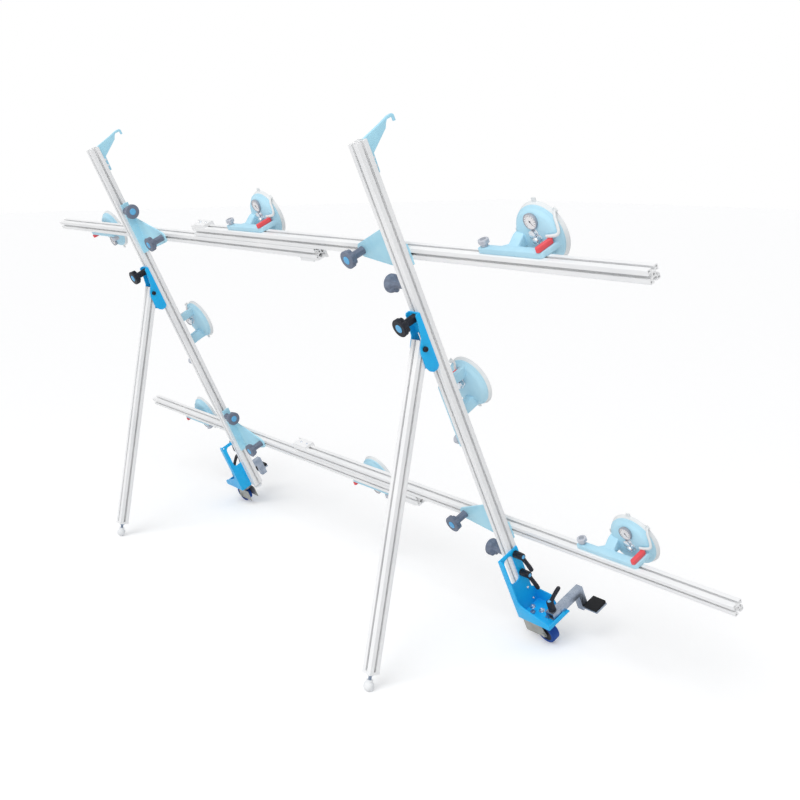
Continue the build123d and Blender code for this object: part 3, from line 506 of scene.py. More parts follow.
class Piece:
    """A finished mesh that rides on one body, grown from simple shapes given in millimetres."""

    def __init__(self, name: str, body: str) -> None:
        """Start an empty piece.

        Args:
            name: Name of the piece.
            body: Body that it rides on.
        """
        self.name = name
        self.body = body
        self.mesh = bmesh.new()
        self.finishes: list[Finish] = []

    def take(self, part: bmesh.types.BMesh, place: Matrix, finish: Finish) -> None:
        """Add a part to the piece.

        Args:
            part: Mesh in its own millimetres; it is freed.
            place: Matrix to the world.
            finish: Finish of all its faces.
        """
        if finish not in self.finishes:
            self.finishes.append(finish)
        index = self.finishes.index(finish)
        bmesh.ops.recalc_face_normals(part, faces=part.faces)
        for face in part.faces:
            face.material_index = index
            face.smooth = True
        part.transform(place)
        holder = bpy.data.meshes.new("part")
        part.to_mesh(holder)
        part.free()
        self.mesh.from_mesh(holder)
        bpy.data.meshes.remove(holder)

    @staticmethod
    def skin(part: bmesh.types.BMesh, rings: list[list[bmesh.types.BMVert]]) -> None:
        """Join each ring of points to the next; a ring on the axis gives triangles.

        Args:
            part: Mesh that gets the faces.
            rings: Rings of equally many points.
        """
        for low, high in zip(rings, rings[1:]):
            for step in range(len(low)):
                nxt = (step + 1) % len(low)
                corners = dict.fromkeys((low[step], low[nxt], high[nxt], high[step]))
                if len(corners) > 2:
                    part.faces.new(list(corners))

    def lathe(self, place: Matrix, profile: Outline, finish: Finish, steps: int = 40) -> None:
        """Add a turned shape about z.

        Args:
            place: Matrix to the world.
            profile: (radius, height) points; a radius of 0 closes on the axis.
            finish: Finish of the shape.
            steps: Points round the axis.
        """
        part = bmesh.new()
        angles = [math.tau * step / steps for step in range(steps)]
        rings = []
        for radius, level in profile:
            if radius < ON_AXIS:
                rings.append([part.verts.new((0.0, 0.0, level))] * steps)
            else:
                rings.append([part.verts.new((radius * math.cos(angle), radius * math.sin(angle), level))
                              for angle in angles])
        self.skin(part, rings)
        bmesh.ops.remove_doubles(part, verts=part.verts, dist=WELD)
        self.take(part, place, finish)

    def rod(self, place: Matrix, radius: float, low: float, high: float, finish: Finish, steps: int) -> None:
        """Add a plain round rod along z.

        Args:
            place: Matrix to the world.
            radius: Radius of the rod.
            low: Lower end.
            high: Upper end.
            finish: Finish of the rod.
            steps: Points round it.
        """
        self.lathe(place, [(0.0, low), (radius, low), (radius, high), (0.0, high)], finish, steps)

    def fluted(self, place: Matrix, rows: list[Point], lobes: int, finish: Finish, steps: int = 96) -> None:
        """Add a turned shape about z with flutes along its side.

        Args:
            place: Matrix to the world.
            rows: (radius, height, flute depth) of each ring from the bottom to the top.
            lobes: Number of flutes.
            finish: Finish of the shape.
            steps: Points round the axis.
        """
        part = bmesh.new()
        rings = []
        for radius, level, depth in rows:
            ring = []
            for step in range(steps):
                angle = math.tau * step / steps
                hollow = (0.5 + 0.5 * math.cos(lobes * angle)) ** FLUTE_POWER
                reach = radius - depth * hollow
                ring.append(part.verts.new((reach * math.cos(angle), reach * math.sin(angle), level)))
            rings.append(ring)
        self.skin(part, rings)
        part.faces.new(rings[0])
        part.faces.new(rings[-1])
        self.take(part, place, finish)

    def prism(self, place: Matrix, outline: Outline, low: float, high: float, finish: Finish,
              bevel: float = 0.0, slant: Pair = (0.0, 0.0)) -> None:
        """Add an outline drawn in x and y, raised along z, with rounded edges.

        Args:
            place: Matrix to the world.
            outline: Corners in order.
            low: Lower level.
            high: Upper level.
            finish: Finish of the shape.
            bevel: Rounding of all its edges.
            slant: Value of y below which the upper level's corners move along y, and how far.
        """
        part = bmesh.new()
        face = part.faces.new([part.verts.new((x, y, low)) for x, y in outline])
        raised = bmesh.ops.extrude_face_region(part, geom=[face])["geom"]
        lifted = [item for item in raised if isinstance(item, bmesh.types.BMVert)]
        bmesh.ops.translate(part, verts=lifted, vec=(0.0, 0.0, high - low))
        for vert in lifted:
            if vert.co.y < slant[0]:
                vert.co.y += slant[1]
        if bevel > 0.0:
            bmesh.ops.bevel(part, geom=list(part.edges), offset=bevel, segments=3, profile=0.5,
                            affect="EDGES", clamp_overlap=True)
        self.take(part, place, finish)

    def strip(self, place: Matrix, path: list[Point], radii: list[float], finish: Finish, flat: float = 1.0,
              steps: int = 12) -> None:
        """Add a rounded strip along a path.

        Args:
            place: Matrix to the world.
            path: Points along its middle.
            radii: Radius at each point, or one radius for all.
            finish: Finish of the strip.
            flat: Height of the section as a share of its width.
            steps: Points round it.
        """
        part = bmesh.new()
        points = [Vector(point) for point in path]
        widths = radii if len(radii) > 1 else radii * len(points)
        rings = []
        for index, (point, width) in enumerate(zip(points, widths)):
            ahead = points[min(index + 1, len(points) - 1)] - points[max(index - 1, 0)]
            turn = ahead.to_track_quat("Z", "Y")
            ring = []
            for step in range(steps):
                angle = math.tau * step / steps
                reach = Vector((width * math.cos(angle), flat * width * math.sin(angle), 0.0))
                ring.append(part.verts.new(point + turn @ reach))
            rings.append(ring)
        self.skin(part, rings)
        part.faces.new(rings[0])
        part.faces.new(rings[-1])
        self.take(part, place, finish)

    def emit(self, *nodes: str) -> None:
        """Turn the piece into an object of the scene.

        Args:
            nodes: Nodes of the frame that the piece stands for.
        """
        mesh = bpy.data.meshes.new(self.name)
        self.mesh.to_mesh(mesh)
        self.mesh.free()
        mesh.set_sharp_from_angle(angle=SMOOTH_LIMIT)
        for finish in self.finishes:
            mesh.materials.append(finish.material())
        settle(self.name, mesh, self.body, self.finishes[0].slot, *nodes)


class Repeat:
    """Geometry node tree that sets one item on every marked point, along the point's facing."""

    def __init__(self) -> None:
        """Build the tree once."""
        self.tree = bpy.data.node_groups.new("repeat_item", "GeometryNodeTree")
        sockets = self.tree.interface
        sockets.new_socket("Points", in_out="INPUT", socket_type="NodeSocketGeometry")
        inputs = (("Item", "Object"), ("Turn", "Float"), ("Seed", "Int"), ("Finish", "Material"))
        self.item, self.turn, self.seed, self.cover = (
            sockets.new_socket(label, in_out="INPUT", socket_type=f"NodeSocket{kind}").identifier
            for label, kind in inputs)
        sockets.new_socket("Mesh", in_out="OUTPUT", socket_type="NodeSocketGeometry")
        self.wire()

    def wire(self) -> None:
        """Place and join the nodes."""
        nodes, links = self.tree.nodes, self.tree.links
        given = nodes.new("NodeGroupInput")
        item = nodes.new("GeometryNodeObjectInfo")
        links.new(given.outputs["Item"], item.inputs["Object"])
        facing = nodes.new("GeometryNodeInputNamedAttribute")
        facing.data_type = "FLOAT_VECTOR"
        facing.inputs["Name"].default_value = "facing"
        align = nodes.new("FunctionNodeAlignRotationToVector")
        align.axis = "Z"
        links.new(facing.outputs["Attribute"], align.inputs["Vector"])
        chance = nodes.new("FunctionNodeRandomValue")
        links.new(given.outputs["Turn"], chance.inputs[3])
        links.new(given.outputs["Seed"], chance.inputs["Seed"])
        spin = nodes.new("ShaderNodeCombineXYZ")
        links.new(chance.outputs[1], spin.inputs["Z"])
        euler = nodes.new("FunctionNodeEulerToRotation")
        links.new(spin.outputs[0], euler.inputs[0])
        turned = nodes.new("FunctionNodeRotateRotation")
        turned.rotation_space = "LOCAL"
        links.new(align.outputs[0], turned.inputs[0])
        links.new(euler.outputs[0], turned.inputs[1])
        spread = nodes.new("GeometryNodeInstanceOnPoints")
        links.new(given.outputs["Points"], spread.inputs["Points"])
        links.new(item.outputs["Geometry"], spread.inputs["Instance"])
        links.new(turned.outputs[0], spread.inputs["Rotation"])
        real = nodes.new("GeometryNodeRealizeInstances")
        links.new(spread.outputs[0], real.inputs[0])
        cover = nodes.new("GeometryNodeSetMaterial")
        links.new(real.outputs[0], cover.inputs["Geometry"])
        links.new(given.outputs["Finish"], cover.inputs["Material"])
        links.new(cover.outputs[0], nodes.new("NodeGroupOutput").inputs[0])

    def spread(self, name: str, body: str, item: bpy.types.Object, marks: Marks, finish: Finish,
               turn: float = 0.0) -> None:
        """Set the item on every mark and keep the result as one plain piece.

        Args:
            name: Name of the piece.
            body: Body that it rides on.
            item: Object that is repeated; it stays hidden.
            marks: World point and world direction of each item.
            finish: Finish of the items.
            turn: Largest random turn about the direction.
        """
        points = bpy.data.meshes.new(f"{name}_points")
        points.from_pydata([spot for spot, _ in marks], [], [])
        facing = points.attributes.new("facing", "FLOAT_VECTOR", "POINT")
        for entry, (_, way) in zip(facing.data, marks):
            entry.vector = way
        host = linked(f"{name}_points", points)
        modifier = host.modifiers.new("repeat", "NODES")
        modifier.node_group = self.tree
        modifier[self.item] = item
        modifier[self.turn] = turn
        modifier[self.seed] = SEED
        modifier[self.cover] = finish.material()
        mesh = applied(host, modifier, name)
        mesh.set_sharp_from_angle(angle=SMOOTH_LIMIT)
        settle(name, mesh, body, finish.slot)


@dataclass
class Items:
    """Small things that are repeated, in metres, kept out of the scene."""

    head_r: float = 4.6
    head_h: float = 3.0
    socket_r: float = 2.4
    washer_r: float = 10.0
    hex_r: float = 7.6
    washer_t: float = 1.6
    hex_top: float = 6.4
    shank_r: float = 3.6
    shank_top: float = 9.6
    tick: Point = (0.7, 0.4, 4.0)
    crest_r: float = 5.0
    root_r: float = 4.2
    inner_r: float = 3.8
    pitch: float = 1.75

    @staticmethod
    def keep(piece: Piece) -> bpy.types.Object:
        """Object of a piece's mesh that is not linked to the scene.

        Args:
            piece: Piece that gives its mesh up.

        Returns:
            The object.
        """
        mesh = bpy.data.meshes.new(piece.name)
        piece.mesh.to_mesh(mesh)
        piece.mesh.free()
        return bpy.data.objects.new(piece.name, mesh)

    def screw(self) -> bpy.types.Object:
        """Button head screw with a hexagon socket, its head up from z = 0.

        Returns:
            The object.
        """
        piece = Piece("screw_item", "")
        edge, top, socket = self.head_r, self.head_h, self.socket_r
        piece.lathe(TO_METRES, [(0.0, 0.0), (edge, 0.0), (edge, 0.35 * top), (0.86 * edge, 0.75 * top),
                                (0.62 * edge, top), (socket, top), (socket, 0.4 * top),
                                (0.0, 0.4 * top)], ZINC, 30)
        return self.keep(piece)

    def bolt(self) -> bpy.types.Object:
        """Hexagon head bolt on a washer, up from z = 0.

        Returns:
            The object.
        """
        piece = Piece("bolt_item", "")
        edge, washer, shank, top = self.washer_r, self.washer_t, self.shank_r, self.shank_top
        piece.lathe(TO_METRES, [(0.0, 0.0), (edge, 0.0), (edge, washer - 0.4), (edge - 0.4, washer),
                                (0.0, washer)], ZINC, 36)
        piece.prism(TO_METRES, hexagon(self.hex_r), washer, self.hex_top, ZINC, 0.5)
        piece.lathe(TO_METRES, [(0.0, self.hex_top - 0.1), (shank, self.hex_top - 0.1), (shank, top - 0.6),
                                (shank - 0.6, top), (0.0, top)], ZINC, 24)
        return self.keep(piece)

    def mark(self) -> bpy.types.Object:
        """Dial mark along z.

        Returns:
            The object.
        """
        piece = Piece("mark_item", "")
        half_x, half_y, half_z = (size / 2 for size in self.tick)
        outline = [(-half_x, -half_y), (half_x, -half_y), (half_x, half_y), (-half_x, half_y)]
        piece.prism(TO_METRES, outline, -half_z, half_z, INK, 0.1)
        return self.keep(piece)

    def thread(self) -> bpy.types.Object:
        """One turn of a stud's thread about z.

        Returns:
            The object.
        """
        piece = Piece("thread_item", "")
        half, inner, root, crest = self.pitch / 2, self.inner_r, self.root_r, self.crest_r
        piece.lathe(TO_METRES, [(inner, -half), (root, -half), (crest, -0.2), (crest, 0.2), (root, half),
                                (inner, half), (inner, -half)], ZINC, 28)
        return self.keep(piece)


@dataclass
class SuctionCup:
    """One suction cup: x along its bar, y away from the bar it is clamped to, z back from the seal plane."""

    at: Pair
    x_dir: Point
    bar_z: float
    rim: float = 10.0
    top: float = 34.0
    bridge_half: float = 60.0
    bridge_leg: float = 27.0
    flare: float = 12.0
    bar_y: float = -16.5
    web_y: float = 12.0
    foot_rise: float = 19.5
    bar_t: float = 16.0
    bar_depth: float = 25.0
    tail: float = 152.0
    knob_x: float = -136.0
    knob_h: float = 19.0
    knob_lobes: int = 6
    stud: float = 20.0
    stud_r: float = 4.0
    gauge: Pair = (3.0, 44.0)
    gauge_r: float = 21.0
    gauge_sink: float = 3.0
    needle_turn: float = math.radians(215)
    scale_marks: int = 13
    scale_in: float = 6.0
    scale_z: float = 6.55
    valves: tuple[tuple[Pair, float, float], ...] = (((4.0, 13.0), 10.5, 14.0), ((14.0, -0.5), 9.0, 18.0))
    valve_sink: float = 1.5
    bail_r: float = 4.4
    bail_flat: float = 0.72

    @property
    def place(self) -> Matrix:
        """Matrix of the cup's own axes."""
        return LAYOUT.place((*self.at, 0.0), self.x_dir, BACK)

    def shell(self, piece: Piece) -> None:
        """Dome with its stepped rim, and the bridge handle that runs on into the tail bar.

        Args:
            piece: Piece that gets the shapes.
        """
        rim, top = self.rim, self.top
        piece.lathe(self.place, [
            (64.0, rim), (75.0, rim), (75.0, rim + 4.2), (74.2, rim + 5.2), (70.6, rim + 7.0),
            (68.6, rim + 9.6), (64.6, top - 8.0), (62.0, top - 6.4), (52.0, top - 3.4), (41.0, top - 1.6),
            (24.0, top - 0.4), (0.0, top), (0.0, top - 6.0), (37.0, top - 8.0), (58.0, top - 15.0),
            (64.0, rim + 1.0), (64.0, rim)], PALE_PLASTIC, 72)
        low, high = self.bar_z - self.bar_depth / 2, self.bar_z + self.bar_depth / 2
        half, inner, tail = self.bridge_half, self.bridge_half - self.bridge_leg, self.tail
        flare = half + self.flare
        sole = rim + self.foot_rise
        outline = [(-half - 6, rim + 6), (-flare, low - 8), (-flare - 14, low + 4), (-tail, low + 4),
                   (-tail, high), (half - 5, high), (half + 3, high - 8), (half + 6, rim + 6),
                   (inner + 3, sole), (inner, low - 4), (inner - 4, low), (-inner + 4, low),
                   (-inner, low - 4), (-inner - 3, sole)]
        flat = [(x, -z) for x, z in outline]
        edge = self.bar_y - self.bar_t / 2
        piece.prism(self.place @ TIPPED, flat, edge, edge + self.bar_t, PALE_PLASTIC, 2.6)
        web = [(edge + 2, rim + 6), (self.web_y, rim + 7), (self.web_y - 4, top + 2),
               (edge + self.bar_t - 1, low + 2), (edge + 2, low + 2)]
        piece.prism(self.place @ SIDEWAYS, web, -half - 9, -inner - 1, PALE_PLASTIC, 3.0,
                    (rim + 8, sole - rim - 6))

    def gauge_place(self) -> Matrix:
        """Matrix of the gauge on the dome."""
        return self.place @ Matrix.Translation((*self.gauge, self.top - self.gauge_sink))

    def dial(self, piece: Piece) -> None:
        """Round pressure gauge with a rim, a white face and a needle.

        Args:
            piece: Piece that gets the shapes.
        """
        place = self.gauge_place()
        edge = self.gauge_r
        piece.lathe(place, [(0.0, -2.0), (edge - 2.0, -2.0), (edge - 0.5, 1.0), (edge, 3.0), (edge, 6.6),
                            (edge - 0.8, 7.6), (edge - 2.2, 7.6), (edge - 2.6, 6.0), (0.0, 6.0)], BEZEL, 48)
        piece.rod(place, edge - 2.7, 6.1, 6.4, DIAL, 48)
        needle = place @ Matrix.Rotation(self.needle_turn, 4, "Z")
        piece.prism(needle, [(-0.8, -3.5), (0.8, -3.5), (0.35, 12.0), (-0.35, 12.0)], 6.5, 6.9, INK, 0.1)
        piece.lathe(place, [(0.0, 6.4), (1.9, 6.4), (1.9, 7.2), (1.2, 7.5), (0.0, 7.5)], INK, 20)

    def marks(self) -> Marks:
        """Points and directions of the gauge's scale, three quarters of a turn.

        Returns:
            World point and world direction of each mark.
        """
        place = self.gauge_place()
        found = []
        for step in range(self.scale_marks):
            angle = math.radians(-45 + 270 * step / (self.scale_marks - 1))
            out = Vector((math.cos(angle), math.sin(angle), 0.0))
            spot = place @ (out * (self.gauge_r - self.scale_in) + Vector((0.0, 0.0, self.scale_z)))
            found.append((spot, (place.to_3x3() @ out).normalized()))
        return found

    def valve(self, piece: Piece) -> None:
        """Chrome release valve and pump plunger beside the gauge.

        Args:
            piece: Piece that gets the shapes.
        """
        for spot, radius, height in self.valves:
            place = self.place @ Matrix.Translation((*spot, self.top - self.valve_sink))
            piece.lathe(place, [(0.0, -1.0), (radius + 2.0, -1.0), (radius + 2.0, 2.0), (radius, 3.0),
                                (radius * 0.9, height * 0.5), (radius, height * 0.62),
                                (radius, height * 0.82), (radius * 0.8, height * 0.95),
                                (radius * 0.4, height), (0.0, height)], CHROME, 36)

    def bail(self, piece: Piece) -> None:
        """White pull strap from a tab of the seal to beside the release lever.

        Args:
            piece: Piece that gets the shape.
        """
        path = [(60.5, 60.5, 5.0), (62.0, 57.5, 10.0), (66.0, 48.0, 16.5), (72.0, 32.0, 21.0),
                (74.5, 21.0, 24.0), (75.0, 15.5, 26.0), (73.0, 11.8, 28.5), (68.5, 10.0, 31.5),
                (56.0, 9.4, 36.0), (44.0, 9.0, 38.0)]
        piece.strip(self.place, path, [self.bail_r], WHITE_RUBBER, self.bail_flat, 16)

    def knob(self, piece: Piece) -> None:
        """Small fluted knob on the bar, its stud and the flat cap on its head.

        Args:
            piece: Piece that gets the shapes.
        """
        seat = self.place @ Matrix.Translation((self.knob_x, self.bar_y + self.bar_t / 2, self.bar_z))
        place = seat @ TIPPED
        top = self.knob_h
        rows = [(8.2, 0.2, 0.0), (8.7, 0.8, 0.0), (8.7, top - 13.6, 0.0), (11.6, top - 12.6, 1.0),
                (13.8, top - 11.4, 2.2), (14.5, top - 10.0, 2.8), (14.5, top - 4.6, 2.8),
                (14.5, top - 3.0, 1.6), (14.3, top - 1.8, 0.3), (13.5, top - 0.6, 0.0),
                (12.2, top, 0.0), (7.9, top - 0.1, 0.0)]
        piece.fluted(place, rows, self.knob_lobes, GREY_PLASTIC, 72)
        piece.lathe(place, [(0.0, top - 0.3), (7.6, top - 0.3), (7.6, top + 0.6), (6.8, top + 1.2),
                            (0.0, top + 1.4)], BEZEL, 32)
        piece.rod(place, self.stud_r, -self.stud, 0.4, ZINC, 24)


@dataclass
class CupSet:
    """The four suction cups of one half with their gauges, valves and straps."""

    half: Half
    repeat: Repeat
    items: Items
    right_x: float = 1243.0
    left_x: float = 1300.0
    middle_x: float = 12.0
    upright_v: float = 789.0
    lift: float = 42.0
    rail_bar_z: float = 73.5
    upright_bar_z: float = 115.0
    upright_gap: float = 43.5

    def cups(self) -> list[SuctionCup]:
        """The cups of this half: outer top, outer bottom, middle and upright.

        Returns:
            The four cups.
        """
        right = self.half is Half.RIGHT
        levels = LAYOUT.levels(self.half)
        rise = self.half.sign * self.lift
        outer = self.right_x if right else -self.left_x
        spots = [(outer, levels["top"]), (outer, levels["bottom"]),
                 (self.middle_x, levels["top" if right else "bottom"])]
        found = [SuctionCup((u, v + rise), self.half.outward, self.rail_bar_z) for u, v in spots]
        beside = self.half.across(LAYOUT.upright_x) - self.upright_gap
        return found + [SuctionCup((beside, self.upright_v), UP, self.upright_bar_z)]

    def build(self) -> None:
        """Make the pieces of all four cups."""
        name, body = self.half.value, self.half.body
        shells, dials = Piece(f"{name}_cup_shells", body), Piece(f"{name}_gauges", body)
        valves, bails = Piece(f"{name}_valves", body), Piece(f"{name}_straps", body)
        grips = Piece(f"{name}_cup_grips", body)
        marks: Marks = []
        for cup in self.cups():
            cup.shell(shells)
            cup.dial(dials)
            cup.valve(valves)
            cup.bail(bails)
            cup.knob(grips)
            marks += cup.marks()
        shells.emit(f"{name}_cups")
        grips.emit(f"{name}_cup_knobs")
        for piece in (dials, valves, bails):
            piece.emit()
        self.repeat.spread(f"{name}_gauge_marks", body, self.items.mark(), marks, INK)


@dataclass
class Knobs:
    """Long neck clamp knobs of one half: fluted head with a plain front rim, ribbed neck, stud and cap."""

    half: Half
    head_r: float = 27.0
    neck_r: float = 12.5
    neck: float = 40.0
    top: float = 63.0
    stud_r: float = 4.0
    stud: float = 10.0
    cap_r: float = 12.2
    lobes: int = 7
    left_rise: float = 26.0
    leg_seat: Pair = (1087.0, 138.0)
    tip_in: float = 190.0
    tip_w: float = 96.0
    flange_in: float = 24.0
    flange_drop: float = 85.0
    flange_w: float = 115.0

    def seats(self) -> dict[str, tuple[Point, Point, Point]]:
        """Where every knob sits.

        Returns:
            Seat, x direction and axis of each knob by body.
        """
        half, wide, name = self.half, LAYOUT.upright_x, self.half.value
        inward = (-half.sign, 0.0, 0.0)
        drop = self.flange_drop + (0.0 if half is Half.RIGHT else self.left_rise)
        found = {f"{name}_leg_knob": ((half.across(wide), *self.leg_seat), ACROSS, BACK)}
        for end, level in LAYOUT.levels(half).items():
            tip = (half.across(wide - self.tip_in), level, self.tip_w)
            flange = (half.across(wide - self.flange_in), level - half.sign * drop, self.flange_w)
            found[f"{name}_{end}_tip_knob"] = (tip, ACROSS, BACK)
            found[f"{name}_{end}_flange_knob"] = (flange, UP, inward)
        return found

    def rows(self) -> list[Point]:
        """Rings of the knob from its seat to its front face.

        Returns:
            Radius, height and flute depth of each ring.
        """
        neck, low, top, wide = self.neck_r, self.neck, self.top, self.head_r
        return [(neck - 0.6, 0.3, 0.0), (neck, 1.0, 0.0), (neck, 3.0, 0.4), (neck - 0.2, 5.0, 1.3),
                (neck - 0.5, low - 8.0, 1.3), (neck, low - 4.0, 1.4), (neck + 2.4, low - 1.0, 2.0),
                (wide - 5.0, low + 1.6, 3.2), (wide - 1.6, low + 3.6, 4.2), (wide - 0.4, low + 5.4, 4.6),
                (wide, top - 8.6, 4.6), (wide, top - 6.6, 3.4), (wide, top - 5.2, 1.2),
                (wide, top - 4.4, 0.2), (wide, top - 2.6, 0.0), (wide - 0.7, top - 1.1, 0.0),
                (wide - 2.0, top - 0.3, 0.0), (wide - 3.6, top, 0.0), (wide - 7.0, top - 0.2, 0.0),
                (self.cap_r + 0.6, top - 0.4, 0.0)]

    def build(self) -> None:
        """Make one knob on each body."""
        top, cap, stud = self.top, self.cap_r, self.stud_r
        for body, (seat, x_dir, axis) in self.seats().items():
            finish = BLACK_PLASTIC if body.endswith("leg_knob") else SLATE_PLASTIC
            place = LAYOUT.place(seat, x_dir, axis)
            piece = Piece(f"{body}_grip", body)
            piece.fluted(place, self.rows(), self.lobes, finish)
            piece.lathe(place, [(0.0, top - 0.6), (cap, top - 0.6), (cap, top + 0.3), (cap - 0.9, top + 1.0),
                                (0.5 * cap, top + 1.3), (0.0, top + 1.4)], CAP_BLUE)
            piece.lathe(place, [(0.0, -self.stud), (stud - 0.8, -self.stud), (stud, 1.0 - self.stud),
                                (stud, 0.5), (0.0, 0.5)], ZINC, 28)
            piece.emit(body)


@dataclass
class Levers:
    """Clamp levers of one half: round hub, curved tapering arm and push button."""

    half: Half
    hub_r: float = 12.0
    hub: float = 36.0
    arm: float = 54.0
    arm_r: float = 8.5
    tip_r: float = 7.0
    stud_r: float = 4.0
    stud: float = 7.0
    dot_r: float = 6.2
    swing: float = math.radians(5.0)
    lift: float = math.radians(24.0)
    arm_lift: float = math.radians(40.0)
    arm_turn: float = math.radians(75.0)
    arm_at: Point = (935.0, 61.5, 130.0)
    wall_at: Pair = (828.0, 115.0)
    wall_v: tuple[tuple[str, float], ...] = (("upper", 235.0), ("lower", 162.0))
    bow: float = 2.2
    waist: float = 0.14
    bends: int = 14
    tip_turns: tuple[int, ...] = (25, 48, 68, 84)

    def seats(self) -> dict[str, tuple[Point, Point, Point, float]]:
        """Where every lever sits.

        Returns:
            Seat, direction of the arm, axis and lift of each lever by body.
        """
        half, name = self.half, self.half.value
        down = (0.0, -math.cos(self.swing), -math.sin(self.swing))
        ahead = (half.sign * math.cos(self.arm_turn), 0.0, -math.sin(self.arm_turn))
        arm_u, arm_v, arm_w = self.arm_at
        found = {f"{name}_arm_lever": ((half.across(arm_u), arm_v, arm_w), ahead, UP, self.arm_lift)}
        wall_u, wall_w = self.wall_at
        for end, v in self.wall_v:
            found[f"{name}_{end}_lever"] = ((half.across(wall_u), v, wall_w), down, half.outward, self.lift)
        return found

    def grip(self, lift: float) -> tuple[list[Point], list[float]]:
        """Middle line and radii of an arm.

        Args:
            lift: Rise of the arm.

        Returns:
            Points from inside the hub to the tip, and the radius at each.
        """
        root = self.hub - 1.3 * self.arm_r
        path, radii = [], []
        for step in range(self.bends + 1):
            share = step / self.bends
            along = self.arm * share
            bow = self.bow * math.sin(math.pi * share)
            path.append((along * math.cos(lift) - bow * math.sin(lift), 0.0,
                         root + along * math.sin(lift) + bow * math.cos(lift)))
            waist = 1.0 - self.waist * math.sin(math.pi * min(1.0, 1.25 * share))
            radii.append((self.arm_r + (self.tip_r - self.arm_r) * share) * waist)
        last = Vector(path[-1])
        ahead = (last - Vector(path[-2])).normalized()
        for angle in self.tip_turns:
            bend = math.radians(angle)
            path.append(tuple(last + ahead * self.tip_r * math.sin(bend)))
            radii.append(self.tip_r * math.cos(bend))
        return path, radii

    def build(self) -> None:
        """Make one lever on each body."""
        hub, edge, dot = self.hub, self.hub_r, self.dot_r
        for body, (seat, x_dir, axis, lift) in self.seats().items():
            place = LAYOUT.place(seat, x_dir, axis)
            piece = Piece(f"{body}_grip", body)
            piece.lathe(place, [(0.0, 0.3), (edge - 0.6, 0.3), (edge, 1.0), (edge, 4.0), (edge - 0.8, 5.0),
                                (edge - 0.8, 6.2), (edge - 0.2, 7.2), (edge - 0.9, hub - 5.0),
                                (edge - 1.4, hub - 2.4), (edge - 2.6, hub - 0.8), (edge - 4.0, hub - 0.2),
                                (dot + 0.3, hub - 0.2), (0.0, hub - 0.4)], BLACK_PLASTIC, 48)
            path, radii = self.grip(lift)
            piece.strip(place, path, radii, BLACK_PLASTIC, 0.9, 24)
            piece.lathe(place, [(0.0, hub - 0.6), (dot, hub - 0.6), (dot, hub + 0.2), (dot - 0.7, hub + 0.8),
                                (0.5 * dot, hub + 1.1), (0.0, hub + 1.2)], CAP_BLUE, 32)
            piece.rod(place, self.stud_r, -self.stud, 0.5, ZINC, 28)
            piece.emit(body)


@dataclass
class Rounded:
    """Copies of carried nodes with their sharp edges rounded off."""

    sizes: tuple[tuple[str, float], ...] = (
        ("castor_bracket", 1.2), ("leg_bracket", 1.2), ("cross_brackets", 1.0), ("hook", 1.2), ("arm", 2.0),
        ("arm_pad", 1.6), ("fork", 0.7), ("steel", 0.6), ("cup_seals", 0.8),
        *((lever, 1.0) for lever in CUP_LEVERS))
    merge: float = 2e-6
    flat: float = math.radians(0.6)
    sharp: float = math.radians(34.0)

    def round_off(self, node: bpy.types.Object, name: str, size: float) -> bpy.types.Mesh:
        """Mesh of a node with rounded edges.

        Args:
            node: Carried node; it stays as it is.
            name: Name of the new mesh.
            size: Width of the rounding in millimetres.

        Returns:
            The finished mesh.
        """
        part = bmesh.new()
        part.from_mesh(node.data)
        bmesh.ops.remove_doubles(part, verts=part.verts, dist=self.merge)
        bmesh.ops.dissolve_limit(part, angle_limit=self.flat, verts=part.verts, edges=part.edges)
        for face in part.faces:
            face.smooth = True
        mesh = bpy.data.meshes.new(f"{name}_plain")
        part.to_mesh(mesh)
        part.free()
        host = linked(f"{name}_plain", mesh)
        bevel = host.modifiers.new("edges", "BEVEL")
        bevel.width = size * MM
        bevel.segments = 3
        bevel.limit_method = "ANGLE"
        bevel.angle_limit = self.sharp
        bevel.harden_normals = True
        done = applied(host, bevel, name)
        bpy.data.meshes.remove(mesh)
        return done

    def build(self, half: Half, nodes: dict[str, bpy.types.Object]) -> None:
        """Round the nodes of one half.

        Args:
            half: Half of the frame.
            nodes: Objects of the frame by node name.
        """
        for short, size in self.sizes:
            node = f"{half.value}_{short}"
            finish = NODE_FINISHES[short]
            body = f"{half.value}_{BODIES.get(short, 'frame')}"
            name = f"{node}_finished"
            mesh = self.round_off(nodes[node], name, size)
            mesh.materials.clear()
            mesh.materials.append(finish.material())
            settle(name, mesh, body, finish.slot, node)


@dataclass
class PivotCaps:
    """Dark caps over the ends of the leg's pivot bolt."""

    half: Half
    reach: float = 24.0
    radius: float = 7.6
    height: float = 8.8
    socket_r: float = 3.0
    socket_depth: float = 1.9

    def build(self) -> None:
        """Make the pair of caps of one leg."""
        leg = f"{self.half.value}_leg"
        piece = Piece(f"{leg}_pivot_caps", leg)
        spot = (self.half.across(LAYOUT.upright_x), *LAYOUT.leg_pivot)
        low, high, edge = self.reach + 0.2, self.reach + self.height, self.radius
        socket, floor = self.socket_r, high - self.socket_depth
        profile = [(0.0, low), (edge, low), (edge, high - 2.2), (edge - 0.6, high - 1.0),
                   (edge - 1.6, high - 0.3), (edge - 2.8, high), (socket + 0.4, high),
                   (socket, high - 0.4), (socket, floor), (0.0, floor)]
        for way in (-1.0, 1.0):
            piece.lathe(LAYOUT.place(spot, UP, (way, 0.0, 0.0)), profile, BLACK_PLASTIC, 36)
        piece.emit()


